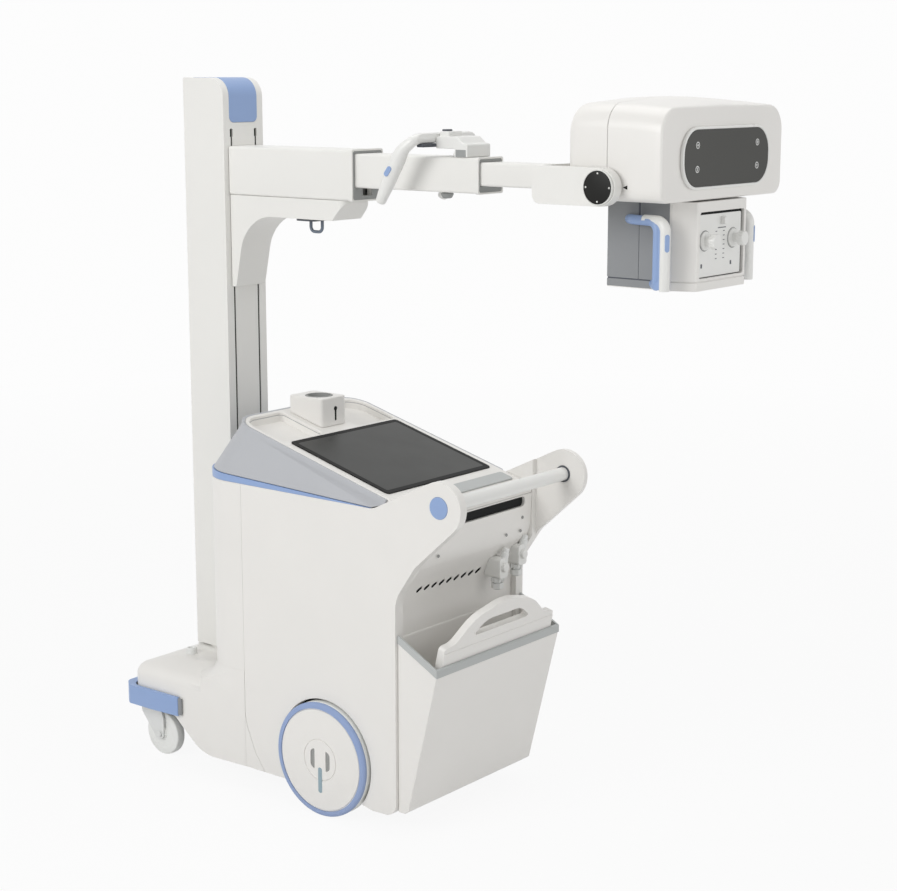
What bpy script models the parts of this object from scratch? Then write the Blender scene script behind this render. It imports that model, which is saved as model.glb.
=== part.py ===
# Portable x-ray machine: a wheeled power unit with a turning column, a telescopic arm and a tube head.
# Units are metres, +Z is up, +Y is the way it drives, and the operator stands at -Y.
# Every y below is measured from the rear axle; the whole machine is then centred on its own length.
import math

import bpy
import bmesh
from mathutils import Matrix, Vector

# Clearances
SEAT = 0.0003            # between pieces that rest on each other
PIN_PLAY = 0.0004        # round a pin in its bore
GUIDE_PLAY = 0.0006      # beside a sliding guide
SMALL_CORNER = 0.012     # corners up to this radius get half as many chords

# Running gear
WHEEL_RADIUS = 0.150
WHEEL_WIDTH = 0.040
WHEEL_FACE_X = 0.280     # outer face of a rear wheel
TYRE_DEPTH = 0.0125
AXLE_RADIUS = 0.012
CASTOR_RADIUS = 0.0625
CASTOR_WIDTH = 0.030
CASTOR_X = 0.213
SWIVEL_Y = 0.680
CASTOR_TRAIL = 0.035
CASTOR_PIN_RADIUS = 0.006
SWIVEL_PIN_RADIUS = 0.010
SWIVEL_LUG_RADIUS = 0.020
FORK_TOP_Z = 0.137

# Body
BODY_HALF = 0.260        # outer face of a side panel
PANEL_THICK = 0.030
BODY_FRONT_Y = 0.458
BODY_CORNER = 0.120
SHELL = 0.006
SEAM_Y = 0.284           # joint between side panel and front cover
PANEL_BOTTOM_Z = 0.060
DECK_Z = 0.828           # top of the side panels and the front cover
ARCH_GAP = 0.008
REAR_WALL_Y = -0.222
WALL_THICK = 0.016
GRIP_Y = -0.375          # push bar
GRIP_Z = 0.859
GRIP_BOSS_RADIUS = 0.063
GRIP_BAR_RADIUS = 0.015
GRIP_CAP_RADIUS = 0.028

# Console
CONSOLE_HALF_BASE = 0.258
CONSOLE_HALF_TOP = 0.235
CONSOLE_FRONT_Y = -0.160
CONSOLE_BACK_Y = 0.335
CONSOLE_TOP_Z = 0.846    # height of the sloping top at CONSOLE_REF_Y
CONSOLE_REF_Y = -0.203
CONSOLE_SLOPE = 0.2706
TOP_THICK = 0.008
BAND_FRONT_Z = 0.830     # top of the blue band at the operator's end
BAND_BACK_Z = 0.866      # and at the column
SCREEN_HALF = 0.203
SCREEN_FRONT_Y = -0.171
SCREEN_BACK_Y = 0.152
SCREEN_THICK = 0.007
SCREEN_PROUD = 0.003
DOCK_HALF = 0.048
DOCK_FRONT_Y = 0.192
DOCK_BACK_Y = 0.310
DOCK_TOP_Z = 1.030
DOCK_WELL_RADIUS = 0.036
DOCK_WELL_DEPTH = 0.032

# Chassis
FLOOR_Z = 0.062
FLOOR_THICK = 0.012
NOSE_DECK_Z = 0.150
NOSE_DECK_THICK = 0.014
TRAY_HALF = 0.2295
TRAY_REAR_Y = -0.200
TRAY_FRONT_Y = 0.698
NOSE_HALF = 0.272
NOSE_FRONT_Y = 0.702
NOSE_EDGE_Z = 0.258
NOSE_TOP_Z = 0.284
BUMPER_BOTTOM_Z = 0.153
BUMPER_TOP_Z = 0.206
BUMPER_FRONT_Y = 0.745
BUMPER_HALF = 0.288
BUMPER_END_Y = 0.522

# Detector bin
BIN_HALF = 0.2515
BIN_WALL = 0.005
BIN_TOP_Y, BIN_TOP_Z = -0.361, 0.453
BIN_TOE_Y, BIN_TOE_Z = -0.271, 0.070
BIN_REAR_Z = 0.528
RIM_HEIGHT = 0.020
RIM_PROUD = 0.002
PLATE_HALF = 0.224
PLATE_THICK = 0.022
PLATE_HEIGHT = 0.442
GRIP_RISE = 0.048
LEAN = math.atan((BIN_TOE_Y - BIN_TOP_Y) / (BIN_TOP_Z - BIN_TOE_Z))
DETECTOR_Z = BIN_TOE_Z + SEAT + math.sin(LEAN) * PLATE_THICK / 2
DETECTOR_Y = BIN_TOE_Y + BIN_WALL - math.tan(LEAN) * (DETECTOR_Z - BIN_TOE_Z) + (PLATE_THICK / 2 + SEAT) / math.cos(LEAN)

# Column
COLUMN_Y = 0.581
MAST_HALF = 0.0735
MAST_DEPTH = 0.150
MAST_FOOT_Z = 0.300
MAST_TOP_Z = 1.855
MAST_ROUND = 0.050
MAST_WALL = 0.006
BEARING_RADIUS = 0.104
SLOT_X = 0.045
SLOT_WIDTH = 0.006
FIN_REACH = 0.017        # of the carriage's guide fins into the slots
SLOT_TOP_Z = 1.722
SLOT_BOTTOM_Z = 0.640

# Arm
ARM1_HALF, ARM1_BOTTOM_Z, ARM1_TOP_Z, ARM1_WALL = 0.058, 1.550, 1.677, 0.005
ARM1_END_Y = 0.067
ARM2_HALF, ARM2_BOTTOM_Z, ARM2_TOP_Z, ARM2_WALL = 0.0475, 1.583, 1.668, 0.0045
ARM2_END_Y = -0.326
ARM3_HALF, ARM3_BOTTOM_Z, ARM3_TOP_Z = 0.040, 1.6015, 1.6575
ARM_OVERLAP = 0.110      # length of each section left inside the one before
HOUSING_BOTTOM_Z = 1.497
HOUSING_FRONT_Y = 0.041
GUSSET_FOOT_Z = 1.305
RING_Y = 0.245
RING_WIRE = 0.004

# Yoke and tube head
YOKE_REAR_Y = -0.658
CROSS_THICK = 0.012
CHEEK_THICK = 0.026
CHEEK_TOP_Z, CHEEK_BOTTOM_Z = 1.670, 1.588
CHEEK_GAP = 0.0055
TILT_Y, TILT_Z = -0.834, 1.629
DIAL_RADIUS = 0.0375
TRUNNION_RADIUS = 0.010
HEAD_HALF = 0.2535
HEAD_BOTTOM_Z, HEAD_TOP_Z = 1.597, 1.795
HEAD_REAR_Y, HEAD_SEAM_Y, HEAD_FRONT_Y = -0.736, -0.833, -0.970
HEAD_CORNER_TOP, HEAD_CORNER_BOTTOM = 0.055, 0.028
BEZEL_HALF, BEZEL_BOTTOM_Z, BEZEL_TOP_Z = 0.188, 1.619, 1.757
BEZEL_THICK = 0.012
GLASS_INSET = 0.010
GLASS_THICK = 0.004

# Collimator
COLL_Y = -0.875          # its turning axis
COLL_HALF_REAR, COLL_HALF_FRONT = 0.125, 0.103
COLL_REAR_Y, COLL_CHAMFER_Y, COLL_FRONT_Y = -0.748, -0.918, -0.970
COLL_BOTTOM_Z, COLL_TOP_Z = 1.400, 1.578
NECK_RADIUS = 0.060
COLL_PANEL_HALF, COLL_PANEL_BOTTOM_Z, COLL_PANEL_TOP_Z = 0.090, 1.430, 1.560
COLL_PANEL_THICK = 0.003
KNOB_X, KNOB_Z, KNOB_RADIUS, KNOB_LENGTH = 0.060, 1.512, 0.018, 0.026
SIDE_GRIP_X, SIDE_GRIP_Y, SIDE_GRIP_RADIUS = 0.166, -0.935, 0.009

# Arm grip
LOOP_HALF = 0.120
LOOP_RADIUS = 0.014
SADDLE_FRONT_Y, SADDLE_BACK_Y, SADDLE_TOP_Z = -0.212, -0.312, 1.712

FRONT_REACH = BUMPER_FRONT_Y
REAR_REACH = COLL_PANEL_THICK + SEAT + KNOB_LENGTH - COLL_FRONT_Y
AXLE_Y = (REAR_REACH - FRONT_REACH) / 2   # puts the machine's middle at y = 0


def material(name, colour, roughness, metallic=0.0):
    made = bpy.data.materials.new(name)
    made.use_nodes = True
    shader = made.node_tree.nodes["Principled BSDF"]
    shader.inputs["Base Color"].default_value = (*colour, 1.0)
    shader.inputs["Roughness"].default_value = roughness
    shader.inputs["Metallic"].default_value = metallic
    made.diffuse_color = (*colour, 1.0)
    return made


def fresh_scene():
    for old in list(bpy.data.objects):
        bpy.data.objects.remove(old, do_unlink=True)
    for name in ("portable_xray_machine", "cutters"):
        bpy.context.scene.collection.children.link(bpy.data.collections.new(name))


def body(name, parent, place):
    """An empty on the joint's axis, which carries all pieces that move together."""
    empty = bpy.data.objects.new(name, None)
    bpy.data.collections["portable_xray_machine"].objects.link(empty)
    empty["place"] = place
    if parent is None:
        empty.location = (0, AXLE_Y, 0)
    else:
        empty.parent = parent
        empty.location = Vector(place) - Vector(parent["place"])
    return empty


def add(name, mesh, carrier, place=(0, 0, 0), turn=(0, 0, 0), look=None):
    """Puts a mesh in the model at a place measured from the rear axle, or among the cutters."""
    made = bpy.data.objects.new(name, mesh)
    home = "cutters" if look is None else "portable_xray_machine"
    bpy.data.collections[home].objects.link(made)
    made.parent = carrier
    made.location = Vector(place) - Vector(carrier["place"])
    made.rotation_euler = turn
    if look is None:
        made.hide_render = True
        made.display_type = "WIRE"
    else:
        mesh.materials.append(look)
        mesh.shade_smooth()
        mesh.set_sharp_from_angle(angle=math.radians(35))
    return made


def rounded(corners, steps=6):
    """Outline from rows of u, v and corner radius; steps is the number of chords in a quarter turn of a large corner."""
    points = []
    for i, (u, v, radius) in enumerate(corners):
        corner = Vector((u, v))
        if radius == 0:
            points.append(corner)
            continue
        back = (Vector(corners[i - 1][:2]) - corner).normalized()
        ahead = (Vector(corners[(i + 1) % len(corners)][:2]) - corner).normalized()
        half = back.angle(ahead) / 2
        centre = corner + (back + ahead).normalized() * radius / math.sin(half)
        start = corner + back * radius / math.tan(half) - centre
        end = corner + ahead * radius / math.tan(half) - centre
        first = math.atan2(start.y, start.x)
        sweep = (math.atan2(end.y, end.x) - first + math.pi) % (2 * math.pi) - math.pi
        chords = steps if radius > SMALL_CORNER else steps / 2
        count = max(2, round(abs(sweep) / (math.pi / 2) * chords))
        for k in range(count + 1):
            angle = first + sweep * k / count
            points.append(centre + radius * Vector((math.cos(angle), math.sin(angle))))
    return points


def box_outline(u0, u1, v0, v1, radius=0.0):
    return rounded([(u0, v0, radius), (u1, v0, radius), (u1, v1, radius), (u0, v1, radius)])


def arc(centre, radius, first, last, count):
    """Points on a circle between two angles in degrees."""
    angles = [math.radians(first + (last - first) * k / count) for k in range(count + 1)]
    return [Vector((centre[0] + radius * math.cos(a), centre[1] + radius * math.sin(a))) for a in angles]


def circle(centre, radius, count=32):
    return arc(centre, radius, 0, 360 * (count - 1) / count, count - 1)


def curve_mesh(name, data, turn=(0, 0, 0)):
    """The closed mesh of a curve, with its caps welded on."""
    source = bpy.data.objects.new(name + "_curve", data)
    bpy.data.collections["cutters"].objects.link(source)
    ready = source.evaluated_get(bpy.context.evaluated_depsgraph_get())
    mesh = bpy.data.meshes.new_from_object(ready)
    bpy.data.objects.remove(source)
    work = bmesh.new()
    work.from_mesh(mesh)
    bmesh.ops.remove_doubles(work, verts=work.verts, dist=0.00002)
    bmesh.ops.dissolve_limit(work, angle_limit=0.001, verts=work.verts, edges=work.edges)
    bmesh.ops.recalc_face_normals(work, faces=work.faces)
    work.to_mesh(mesh)
    work.free()
    mesh.name = name
    return mesh


AXIS_TURN = {"X": (math.pi / 2, math.pi / 2), "Y": (math.pi / 2, 0), "Z": (0, 0)}


def plate(name, carrier, outline, axis, low, high, look=None, place=(0, 0, 0), tilt=0.0, holes=()):
    """A flat outline made thick: (y, z) along +X, (x, z) towards the operator along -Y, or (x, y) along +Z."""
    data = bpy.data.curves.new(name, "CURVE")
    data.dimensions = "2D"
    data.fill_mode = "BOTH"
    data.extrude = (high - low) / 2
    for loop in (outline, *holes):
        spline = data.splines.new("POLY")
        spline.points.add(len(loop) - 1)
        for point, at in zip(spline.points, loop):
            point.co = (at[0], at[1], 0, 1)
        spline.use_cyclic_u = True
    mesh = curve_mesh(name, data)
    mesh.transform(Matrix.Translation((0, 0, (low + high) / 2)))
    tip, spin = AXIS_TURN[axis]
    mesh.transform(Matrix.Rotation(spin, 4, "Z") @ Matrix.Rotation(tip, 4, "X"))
    return add(name, mesh, carrier, place, (tilt, 0, 0), look)


def tube(name, carrier, path, radius, look=None, sides=3, closed=False):
    """A round bar along a path of points."""
    data = bpy.data.curves.new(name, "CURVE")
    data.dimensions = "3D"
    data.bevel_depth = radius
    data.bevel_resolution = sides
    data.use_fill_caps = not closed
    spline = data.splines.new("POLY")
    spline.points.add(len(path) - 1)
    for point, at in zip(spline.points, path):
        point.co = (*at, 1)
    spline.use_cyclic_u = closed
    return add(name, curve_mesh(name, data), carrier, (0, 0, 0), (0, 0, 0), look)


TURNED = {"X": (0, math.pi / 2, 0), "Y": (-math.pi / 2, 0, 0), "Z": (0, 0, 0)}


def turned(name, carrier, place, axis, profile, look=None, steps=40, ring=False):
    """A profile of (radius, height) rows, from its top down, turned about an axis."""
    mesh = bpy.data.meshes.new(name)
    edges = [(i, i + 1) for i in range(len(profile) - 1)]
    if ring:
        edges.append((len(profile) - 1, 0))
    mesh.from_pydata([(r, 0, h) for r, h in profile], edges, [])
    made = add(name, mesh, carrier, place, TURNED[axis], look)
    screw = made.modifiers.new("turn", "SCREW")
    screw.steps = screw.render_steps = steps
    screw.use_merge_vertices = True
    screw.merge_threshold = 0.00002
    screw.use_smooth_shade = True
    return made


def loft(name, carrier, loops, look=None):
    """A closed skin through outlines that have the same number of points."""
    work = bmesh.new()
    rows = [[work.verts.new(p) for p in loop] for loop in loops]
    count = len(rows[0])
    for low, high in zip(rows, rows[1:]):
        for i in range(count):
            j = (i + 1) % count
            work.faces.new((low[i], low[j], high[j], high[i]))
    work.faces.new(rows[0])
    work.faces.new(rows[-1])
    bmesh.ops.recalc_face_normals(work, faces=work.faces)
    mesh = bpy.data.meshes.new(name)
    work.to_mesh(mesh)
    work.free()
    return add(name, mesh, carrier, (0, 0, 0), (0, 0, 0), look)


def merge(target, tool, how="DIFFERENCE"):
    step = target.modifiers.new(tool.name, "BOOLEAN")
    step.operation = how
    step.solver = "EXACT"
    step.object = tool
    return target


def soften(target, width, segments=2, degrees=40):
    step = target.modifiers.new("soft_edges", "BEVEL")
    step.width = width
    step.segments = segments
    step.limit_method = "ANGLE"
    step.angle_limit = math.radians(degrees)
    step.use_clamp_overlap = True
    return target


def pair(make):
    """Makes the left piece at -X and the right piece at +X."""
    return [make("left", -1), make("right", 1)]


def console_z(y):
    """Height of the sloping console top."""
    return CONSOLE_TOP_Z + CONSOLE_SLOPE * (y - CONSOLE_REF_Y)


def band_z(y):
    """Height of the line where the blue band meets the console."""
    share = (y - CONSOLE_FRONT_Y) / (BODY_FRONT_Y - CONSOLE_FRONT_Y)
    return BAND_FRONT_Z + (BAND_BACK_Z - BAND_FRONT_Z) * share


def body_plan(half, front, corner, rear, steps=8):
    """Plan of the body: square at the operator's end, round at the column."""
    return rounded([(-half, rear, 0), (half, rear, 0), (half, front, corner), (-half, front, corner)], steps)


def chassis_tray(frame, looks):
    top, deck = FLOOR_Z + FLOOR_THICK, NOSE_DECK_Z + NOSE_DECK_THICK
    outline = [
        (TRAY_REAR_Y, FLOOR_Z), (0.440, FLOOR_Z), (0.478, NOSE_DECK_Z), (TRAY_FRONT_Y, NOSE_DECK_Z),
        (TRAY_FRONT_Y, deck), (0.470, deck), (0.432, top), (TRAY_REAR_Y, top)]
    tray = plate("chassis_tray", frame, outline, "X", -TRAY_HALF, TRAY_HALF, looks["steel"])
    boss_low = FORK_TOP_Z + SEAT
    for side, sign in (("left", -1), ("right", 1)):
        spot = (sign * CASTOR_X, SWIVEL_Y)
        lug = plate("swivel_lug_" + side, frame, circle(spot, SWIVEL_LUG_RADIUS, 20), "Z", boss_low, deck - 0.001)
        merge(tray, lug, "UNION")
        bore = plate("swivel_bore_" + side, frame, circle(spot, SWIVEL_PIN_RADIUS + PIN_PLAY, 16), "Z",
                     boss_low - 0.01, deck - 0.004)
        merge(tray, bore)
    return tray


def nose_cover(frame, looks):
    corner = 0.050
    flat = [(0.345, NOSE_HALF - 0.008), (0.520, NOSE_HALF)]

    def plan(inset, z, rise=0.0):
        half, front = NOSE_HALF - inset, NOSE_FRONT_Y - inset
        shape = rounded([(-half + 0.008, 0.350, 0), (half - 0.008, 0.350, 0), (half, 0.520, 0),
                         (half, front, corner - inset * 0.3), (-half, front, corner - inset * 0.3), (-half, 0.520, 0)])
        return [(p.x, p.y, z) for p in shape]
    cover = loft("nose_cover", frame, [
        plan(0.000, PANEL_BOTTOM_Z), plan(0.000, NOSE_EDGE_Z - 0.010), plan(0.003, NOSE_EDGE_Z - 0.003),
        plan(0.010, NOSE_EDGE_Z), plan(0.090, NOSE_TOP_Z)], looks["shell"])
    gap = 0.0015
    merge(cover, plate("nose_under_body", frame,
                       body_plan(BODY_HALF + SEAT, BODY_FRONT_Y + SEAT, BODY_CORNER + SEAT, 0.300), "Z", 0, 0.4))
    under = [(0.300, -0.01), (0.300, PANEL_BOTTOM_Z), (0.440, PANEL_BOTTOM_Z), (0.470, 0.075), (0.505, 0.107),
             (0.545, BUMPER_BOTTOM_Z - 0.004), (0.760, BUMPER_BOTTOM_Z - 0.004), (0.760, -0.01)]
    merge(cover, plate("nose_under_castors", frame, under, "X", -0.4, 0.4))
    merge(cover, plate("nose_over_tray", frame,
                       box_outline(0.300, TRAY_FRONT_Y + gap, 0.0, NOSE_DECK_Z + NOSE_DECK_THICK + SEAT), "X",
                       -TRAY_HALF - gap, TRAY_HALF + gap))
    for side, sign in (("left", -1), ("right", 1)):
        merge(cover, plate("nose_over_lug_" + side, frame, circle((sign * CASTOR_X, SWIVEL_Y), SWIVEL_LUG_RADIUS + gap, 20), "Z", 0.1,
                           NOSE_DECK_Z + NOSE_DECK_THICK + SEAT))
    merge(cover, plate("nose_round_bearing", frame, circle((0, COLUMN_Y), BEARING_RADIUS + SEAT, 40), "Z", 0.1, 0.4))
    return cover


def front_shroud(frame, looks):
    outer = body_plan(BODY_HALF, BODY_FRONT_Y, BODY_CORNER, SEAM_Y + SEAT)
    shroud = plate("front_shroud", frame, outer, "Z", PANEL_BOTTOM_Z, DECK_Z, looks["shell"])
    inner = body_plan(BODY_HALF - SHELL, BODY_FRONT_Y - SHELL, BODY_CORNER - SHELL, SEAM_Y - 0.02)
    merge(shroud, plate("shroud_inside", frame, inner, "Z", 0, 1))
    # The tray passes through the foot of the shroud into the nose.
    merge(shroud, plate("shroud_over_tray", frame, box_outline(0.40, 0.50, 0.0, NOSE_DECK_Z + NOSE_DECK_THICK + 0.002),
                        "X", -TRAY_HALF - 0.0015, TRAY_HALF + 0.0015))
    return shroud


def side_outline():
    """Side panel with the raised arm of the push bar, as (y, z)."""
    edge = REAR_WALL_Y - 0.016
    boss = [(p.x, p.y, 0) for p in arc((GRIP_Y, GRIP_Z), GRIP_BOSS_RADIUS, 67, 230, 14)]
    return rounded([
        (edge, 0.050, 0.035), (-0.160, 0.048, 0.010), (-0.100, PANEL_BOTTOM_Z, 0.010), (SEAM_Y - 0.050, PANEL_BOTTOM_Z, 0.010),
        (SEAM_Y, 0.110, 0.030), (SEAM_Y, DECK_Z, 0), (CONSOLE_FRONT_Y - 0.008, DECK_Z, 0.030), *boss,
        (-0.300, 0.700, 0.080), (edge, 0.610, 0.080)])


def side_panels(frame, looks):
    inner = BODY_HALF - PANEL_THICK

    def make(side, sign):
        low, high = sorted((sign * inner, sign * BODY_HALF))
        panel = plate("side_panel_" + side, frame, side_outline(), "X", low, high, looks["shell"])
        soften(panel, 0.004, 1)
        arch = plate("wheel_arch_" + side, frame, circle((0, WHEEL_RADIUS), WHEEL_RADIUS + ARCH_GAP, 36), "X", low - 0.01, high + 0.01)
        merge(panel, arch)
        lead = plate("grip_bore_" + side, frame, circle((GRIP_Y, GRIP_Z), GRIP_BAR_RADIUS + SEAT, 16), "X",
                     *sorted((sign * (inner - 0.01), sign * (inner + 0.012))))
        merge(panel, lead)
        seat = plate("cap_seat_" + side, frame, circle((GRIP_Y, GRIP_Z), GRIP_CAP_RADIUS + SEAT, 24), "X",
                     *sorted((sign * (BODY_HALF - 0.003), sign * (BODY_HALF + 0.01))))
        merge(panel, seat)
        return panel
    pair(make)


def operator_wall(frame, looks):
    thick = WALL_THICK
    face = [(REAR_WALL_Y, PANEL_BOTTOM_Z + FLOOR_THICK + 0.004), (REAR_WALL_Y, 0.580), (-0.232, 0.620), (-0.281, 0.700), (-0.288, 0.730),
            (-0.288, 0.800)]
    back = [(-0.288 + thick, 0.800), (-0.288 + thick, 0.730), (-0.281 + thick, 0.703), (-0.232 + thick, 0.624),
            (REAR_WALL_Y + thick, 0.584), (REAR_WALL_Y + thick, PANEL_BOTTOM_Z + FLOOR_THICK + 0.004)]
    wall = plate("operator_wall", frame, face + back, "X", -TRAY_HALF, TRAY_HALF, looks["shell"])
    slot = plate("hand_slot", frame, box_outline(-0.200, 0.200, 0.770, 0.799, 0.006), "Y", 0, 0.012,
                 place=(0, -0.290 + 0.012, 0))
    return merge(wall, slot)


def console(frame, looks):
    grey, white = looks["grey"], looks["shell"]
    corner = BODY_CORNER

    def loop(half, back, radius, height, drop=0.0):
        shape = body_plan(half, back, radius, CONSOLE_FRONT_Y)
        return [(p.x, p.y, height(p.y) + drop) for p in shape]
    loft("trim_band", frame, [
        loop(BODY_HALF, BODY_FRONT_Y, corner, lambda y: DECK_Z, SEAT),
        loop(BODY_HALF, BODY_FRONT_Y, corner, band_z, -SEAT)], looks["blue"])
    base = loft("console_base", frame, [
        loop(CONSOLE_HALF_BASE, BODY_FRONT_Y - 0.004, corner, band_z),
        loop(CONSOLE_HALF_TOP, CONSOLE_BACK_Y, 0.060, console_z, -TOP_THICK)], grey)
    top_outline = rounded([
        (CONSOLE_BACK_Y - 0.006, console_z(CONSOLE_BACK_Y - 0.006) - TOP_THICK + SEAT, 0),
        (CONSOLE_BACK_Y - 0.006, console_z(CONSOLE_BACK_Y - 0.006), 0),
        (-0.262, console_z(-0.262), 0.020), (-0.2875, 0.812, 0.010), (-0.2875, 0.8005, 0), (-0.240, 0.8005, 0),
        (-0.180, 0.822, 0), (CONSOLE_FRONT_Y - 0.001, 0.826, 0),
        (CONSOLE_FRONT_Y - 0.001, console_z(CONSOLE_FRONT_Y) - TOP_THICK + SEAT, 0)], 4)
    top = plate("console_top", frame, top_outline, "X", -TRAY_HALF, TRAY_HALF, white)

    def pocket(name, x0, x1, y0, y1, depth, radius):
        shape = box_outline(x0, x1, y0, y1, radius)
        return loft(name, frame, [[(p.x, p.y, console_z(p.y) - depth) for p in shape],
                                  [(p.x, p.y, console_z(p.y) + 0.02) for p in shape]])
    for side, sign in (("left", -1), ("right", 1)):
        x0, x1 = sorted((sign * 0.085, sign * 0.212))
        tray = pocket("tray_" + side, x0, x1, 0.175, 0.308, 0.026, 0.018)
        merge(top, tray)
        merge(base, tray)
    merge(top, pocket("screen_seat", -SCREEN_HALF - SEAT, SCREEN_HALF + SEAT, SCREEN_FRONT_Y - SEAT, SCREEN_BACK_Y + SEAT,
                      SCREEN_THICK - SCREEN_PROUD + SEAT, 0.022))
    shape = box_outline(-SCREEN_HALF, SCREEN_HALF, SCREEN_FRONT_Y, SCREEN_BACK_Y, 0.022)
    soften(loft("touch_screen", frame, [
        [(p.x, p.y, console_z(p.y) - SCREEN_THICK + SCREEN_PROUD) for p in shape],
        [(p.x, p.y, console_z(p.y) + SCREEN_PROUD) for p in shape]], looks["glass"]), 0.0015, 1)
    rest = box_outline(-0.205, 0.205, -0.247, -0.205, 0.008)
    loft("wrist_rest", frame, [[(p.x, p.y, console_z(p.y) + SEAT) for p in rest],
                               [(p.x, p.y, console_z(p.y) + 0.004) for p in rest]], grey)
    dock_outline = box_outline(-DOCK_HALF, DOCK_HALF, DOCK_FRONT_Y, DOCK_BACK_Y, 0.008)
    dock = loft("dock_block", frame, [[(p.x, p.y, console_z(p.y) + SEAT) for p in dock_outline],
                                      [(p.x, p.y, DOCK_TOP_Z - 0.004) for p in dock_outline],
                                      [(p.x * 0.93, (p.y - RING_Y) * 0.94 + RING_Y, DOCK_TOP_Z) for p in dock_outline]], white)
    merge(dock, plate("dock_well", frame, circle((0, RING_Y), DOCK_WELL_RADIUS, 24), "Z",
                      DOCK_TOP_Z - DOCK_WELL_DEPTH, DOCK_TOP_Z + 0.02))
    outer, bore, floor = DOCK_WELL_RADIUS - SEAT, DOCK_WELL_RADIUS - 0.005, SEAT - DOCK_WELL_DEPTH
    turned("dock_liner", frame, (0, RING_Y, DOCK_TOP_Z), "Z",
           [(0, floor + 0.004), (bore, floor + 0.004), (bore, 0.001), (outer, 0.001), (outer, floor), (0, floor)], looks["rubber"], 24)


def push_bar(frame, looks):
    inner = BODY_HALF - PANEL_THICK
    tube("push_bar", frame, [(-inner - 0.0115, GRIP_Y, GRIP_Z), (inner + 0.0115, GRIP_Y, GRIP_Z)], GRIP_BAR_RADIUS,
         looks["shell"], 4)

    def cap(side, sign):
        low, high = sorted((sign * (BODY_HALF - 0.003 + SEAT), sign * (BODY_HALF + 0.0015)))
        return plate("push_bar_cap_" + side, frame, circle((GRIP_Y, GRIP_Z), GRIP_CAP_RADIUS, 24), "X", low, high, looks["blue"])
    pair(cap)


def bumper(frame, looks):
    inner = rounded([(-NOSE_HALF - SEAT, BUMPER_END_Y - 0.02, 0), (NOSE_HALF + SEAT, BUMPER_END_Y - 0.02, 0),
                     (NOSE_HALF + SEAT, NOSE_FRONT_Y + SEAT, 0.050), (-NOSE_HALF - SEAT, NOSE_FRONT_Y + SEAT, 0.050)])

    def plan(inset, z):
        half, front = BUMPER_HALF - inset, BUMPER_FRONT_Y - inset
        shape = rounded([(-half, BUMPER_END_Y + inset, 0.003), (half, BUMPER_END_Y + inset, 0.003),
                         (half, front - 0.018, 0.060), (0.110, front, 0.300), (-0.110, front, 0.300), (-half, front - 0.018, 0.060)])
        return [(p.x, p.y, z) for p in shape]
    round_over = 0.006
    made = loft("bumper", frame, [
        plan(round_over, BUMPER_BOTTOM_Z), plan(0.0018, BUMPER_BOTTOM_Z + 0.0018), plan(0, BUMPER_BOTTOM_Z + round_over),
        plan(0, BUMPER_TOP_Z - round_over), plan(0.0018, BUMPER_TOP_Z - 0.0018), plan(round_over, BUMPER_TOP_Z)], looks["blue"])
    merge(made, plate("bumper_inside", frame, inner, "Z", 0.1, 0.3))


def bin_section(drop_top, drop_low, grow, low_line=False):
    """Bin side as (y, z): between its toe and its top, or only the band under the rim line."""
    back = REAR_WALL_Y - SEAT
    top = [(back, BIN_REAR_Z - drop_top), (BIN_TOP_Y - grow, BIN_TOP_Z - drop_top)]
    if low_line:
        return top + [(BIN_TOP_Y - grow, BIN_TOP_Z - drop_low), (back, BIN_REAR_Z - drop_low)]
    return top + [(BIN_TOE_Y - grow, BIN_TOE_Z), (BIN_TOE_Y + 0.012, 0.047), (back, 0.047)]


def detector_bin(frame, looks):
    wall = BIN_WALL
    back = REAR_WALL_Y - SEAT
    hollow = [(back - wall, 0.70), (BIN_TOP_Y + wall - 0.035, 0.70 - 0.1), (BIN_TOP_Y + wall, BIN_TOP_Z),
              (BIN_TOE_Y + wall, BIN_TOE_Z), (back - wall, BIN_TOE_Z)]
    lower = plate("detector_bin", frame, bin_section(RIM_HEIGHT + SEAT, 0, 0), "X", -BIN_HALF, BIN_HALF, looks["shell"])
    upper = plate("bin_rim", frame, bin_section(0, RIM_HEIGHT, RIM_PROUD, True), "X", -BIN_HALF - RIM_PROUD,
                  BIN_HALF + RIM_PROUD, looks["grey"])
    inside = plate("bin_hollow", frame, hollow, "X", -BIN_HALF + wall, BIN_HALF - wall)
    # The side panels stand inside the ends of the bin's side walls.
    open_back = plate("rim_hollow", frame, [(0, 0.80), (-0.45, 0.80), (BIN_TOP_Y + wall - 0.035, 0.60), (BIN_TOP_Y + wall, BIN_TOP_Z),
                                            (BIN_TOP_Y + wall, 0.30), (0, 0.30)], "X", -BIN_HALF + wall, BIN_HALF - wall)
    for piece, space in ((lower, inside), (upper, open_back)):
        merge(piece, space)
        for side, sign in (("left", -1), ("right", 1)):
            low, high = sorted((sign * (BODY_HALF - PANEL_THICK - SEAT), sign * (BODY_HALF + 0.01)))
            merge(piece, plate("bin_behind_panel_" + side + piece.name, frame,
                               box_outline(REAR_WALL_Y - 0.016 - SEAT, 0, 0, 0.9), "X", low, high))


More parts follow.
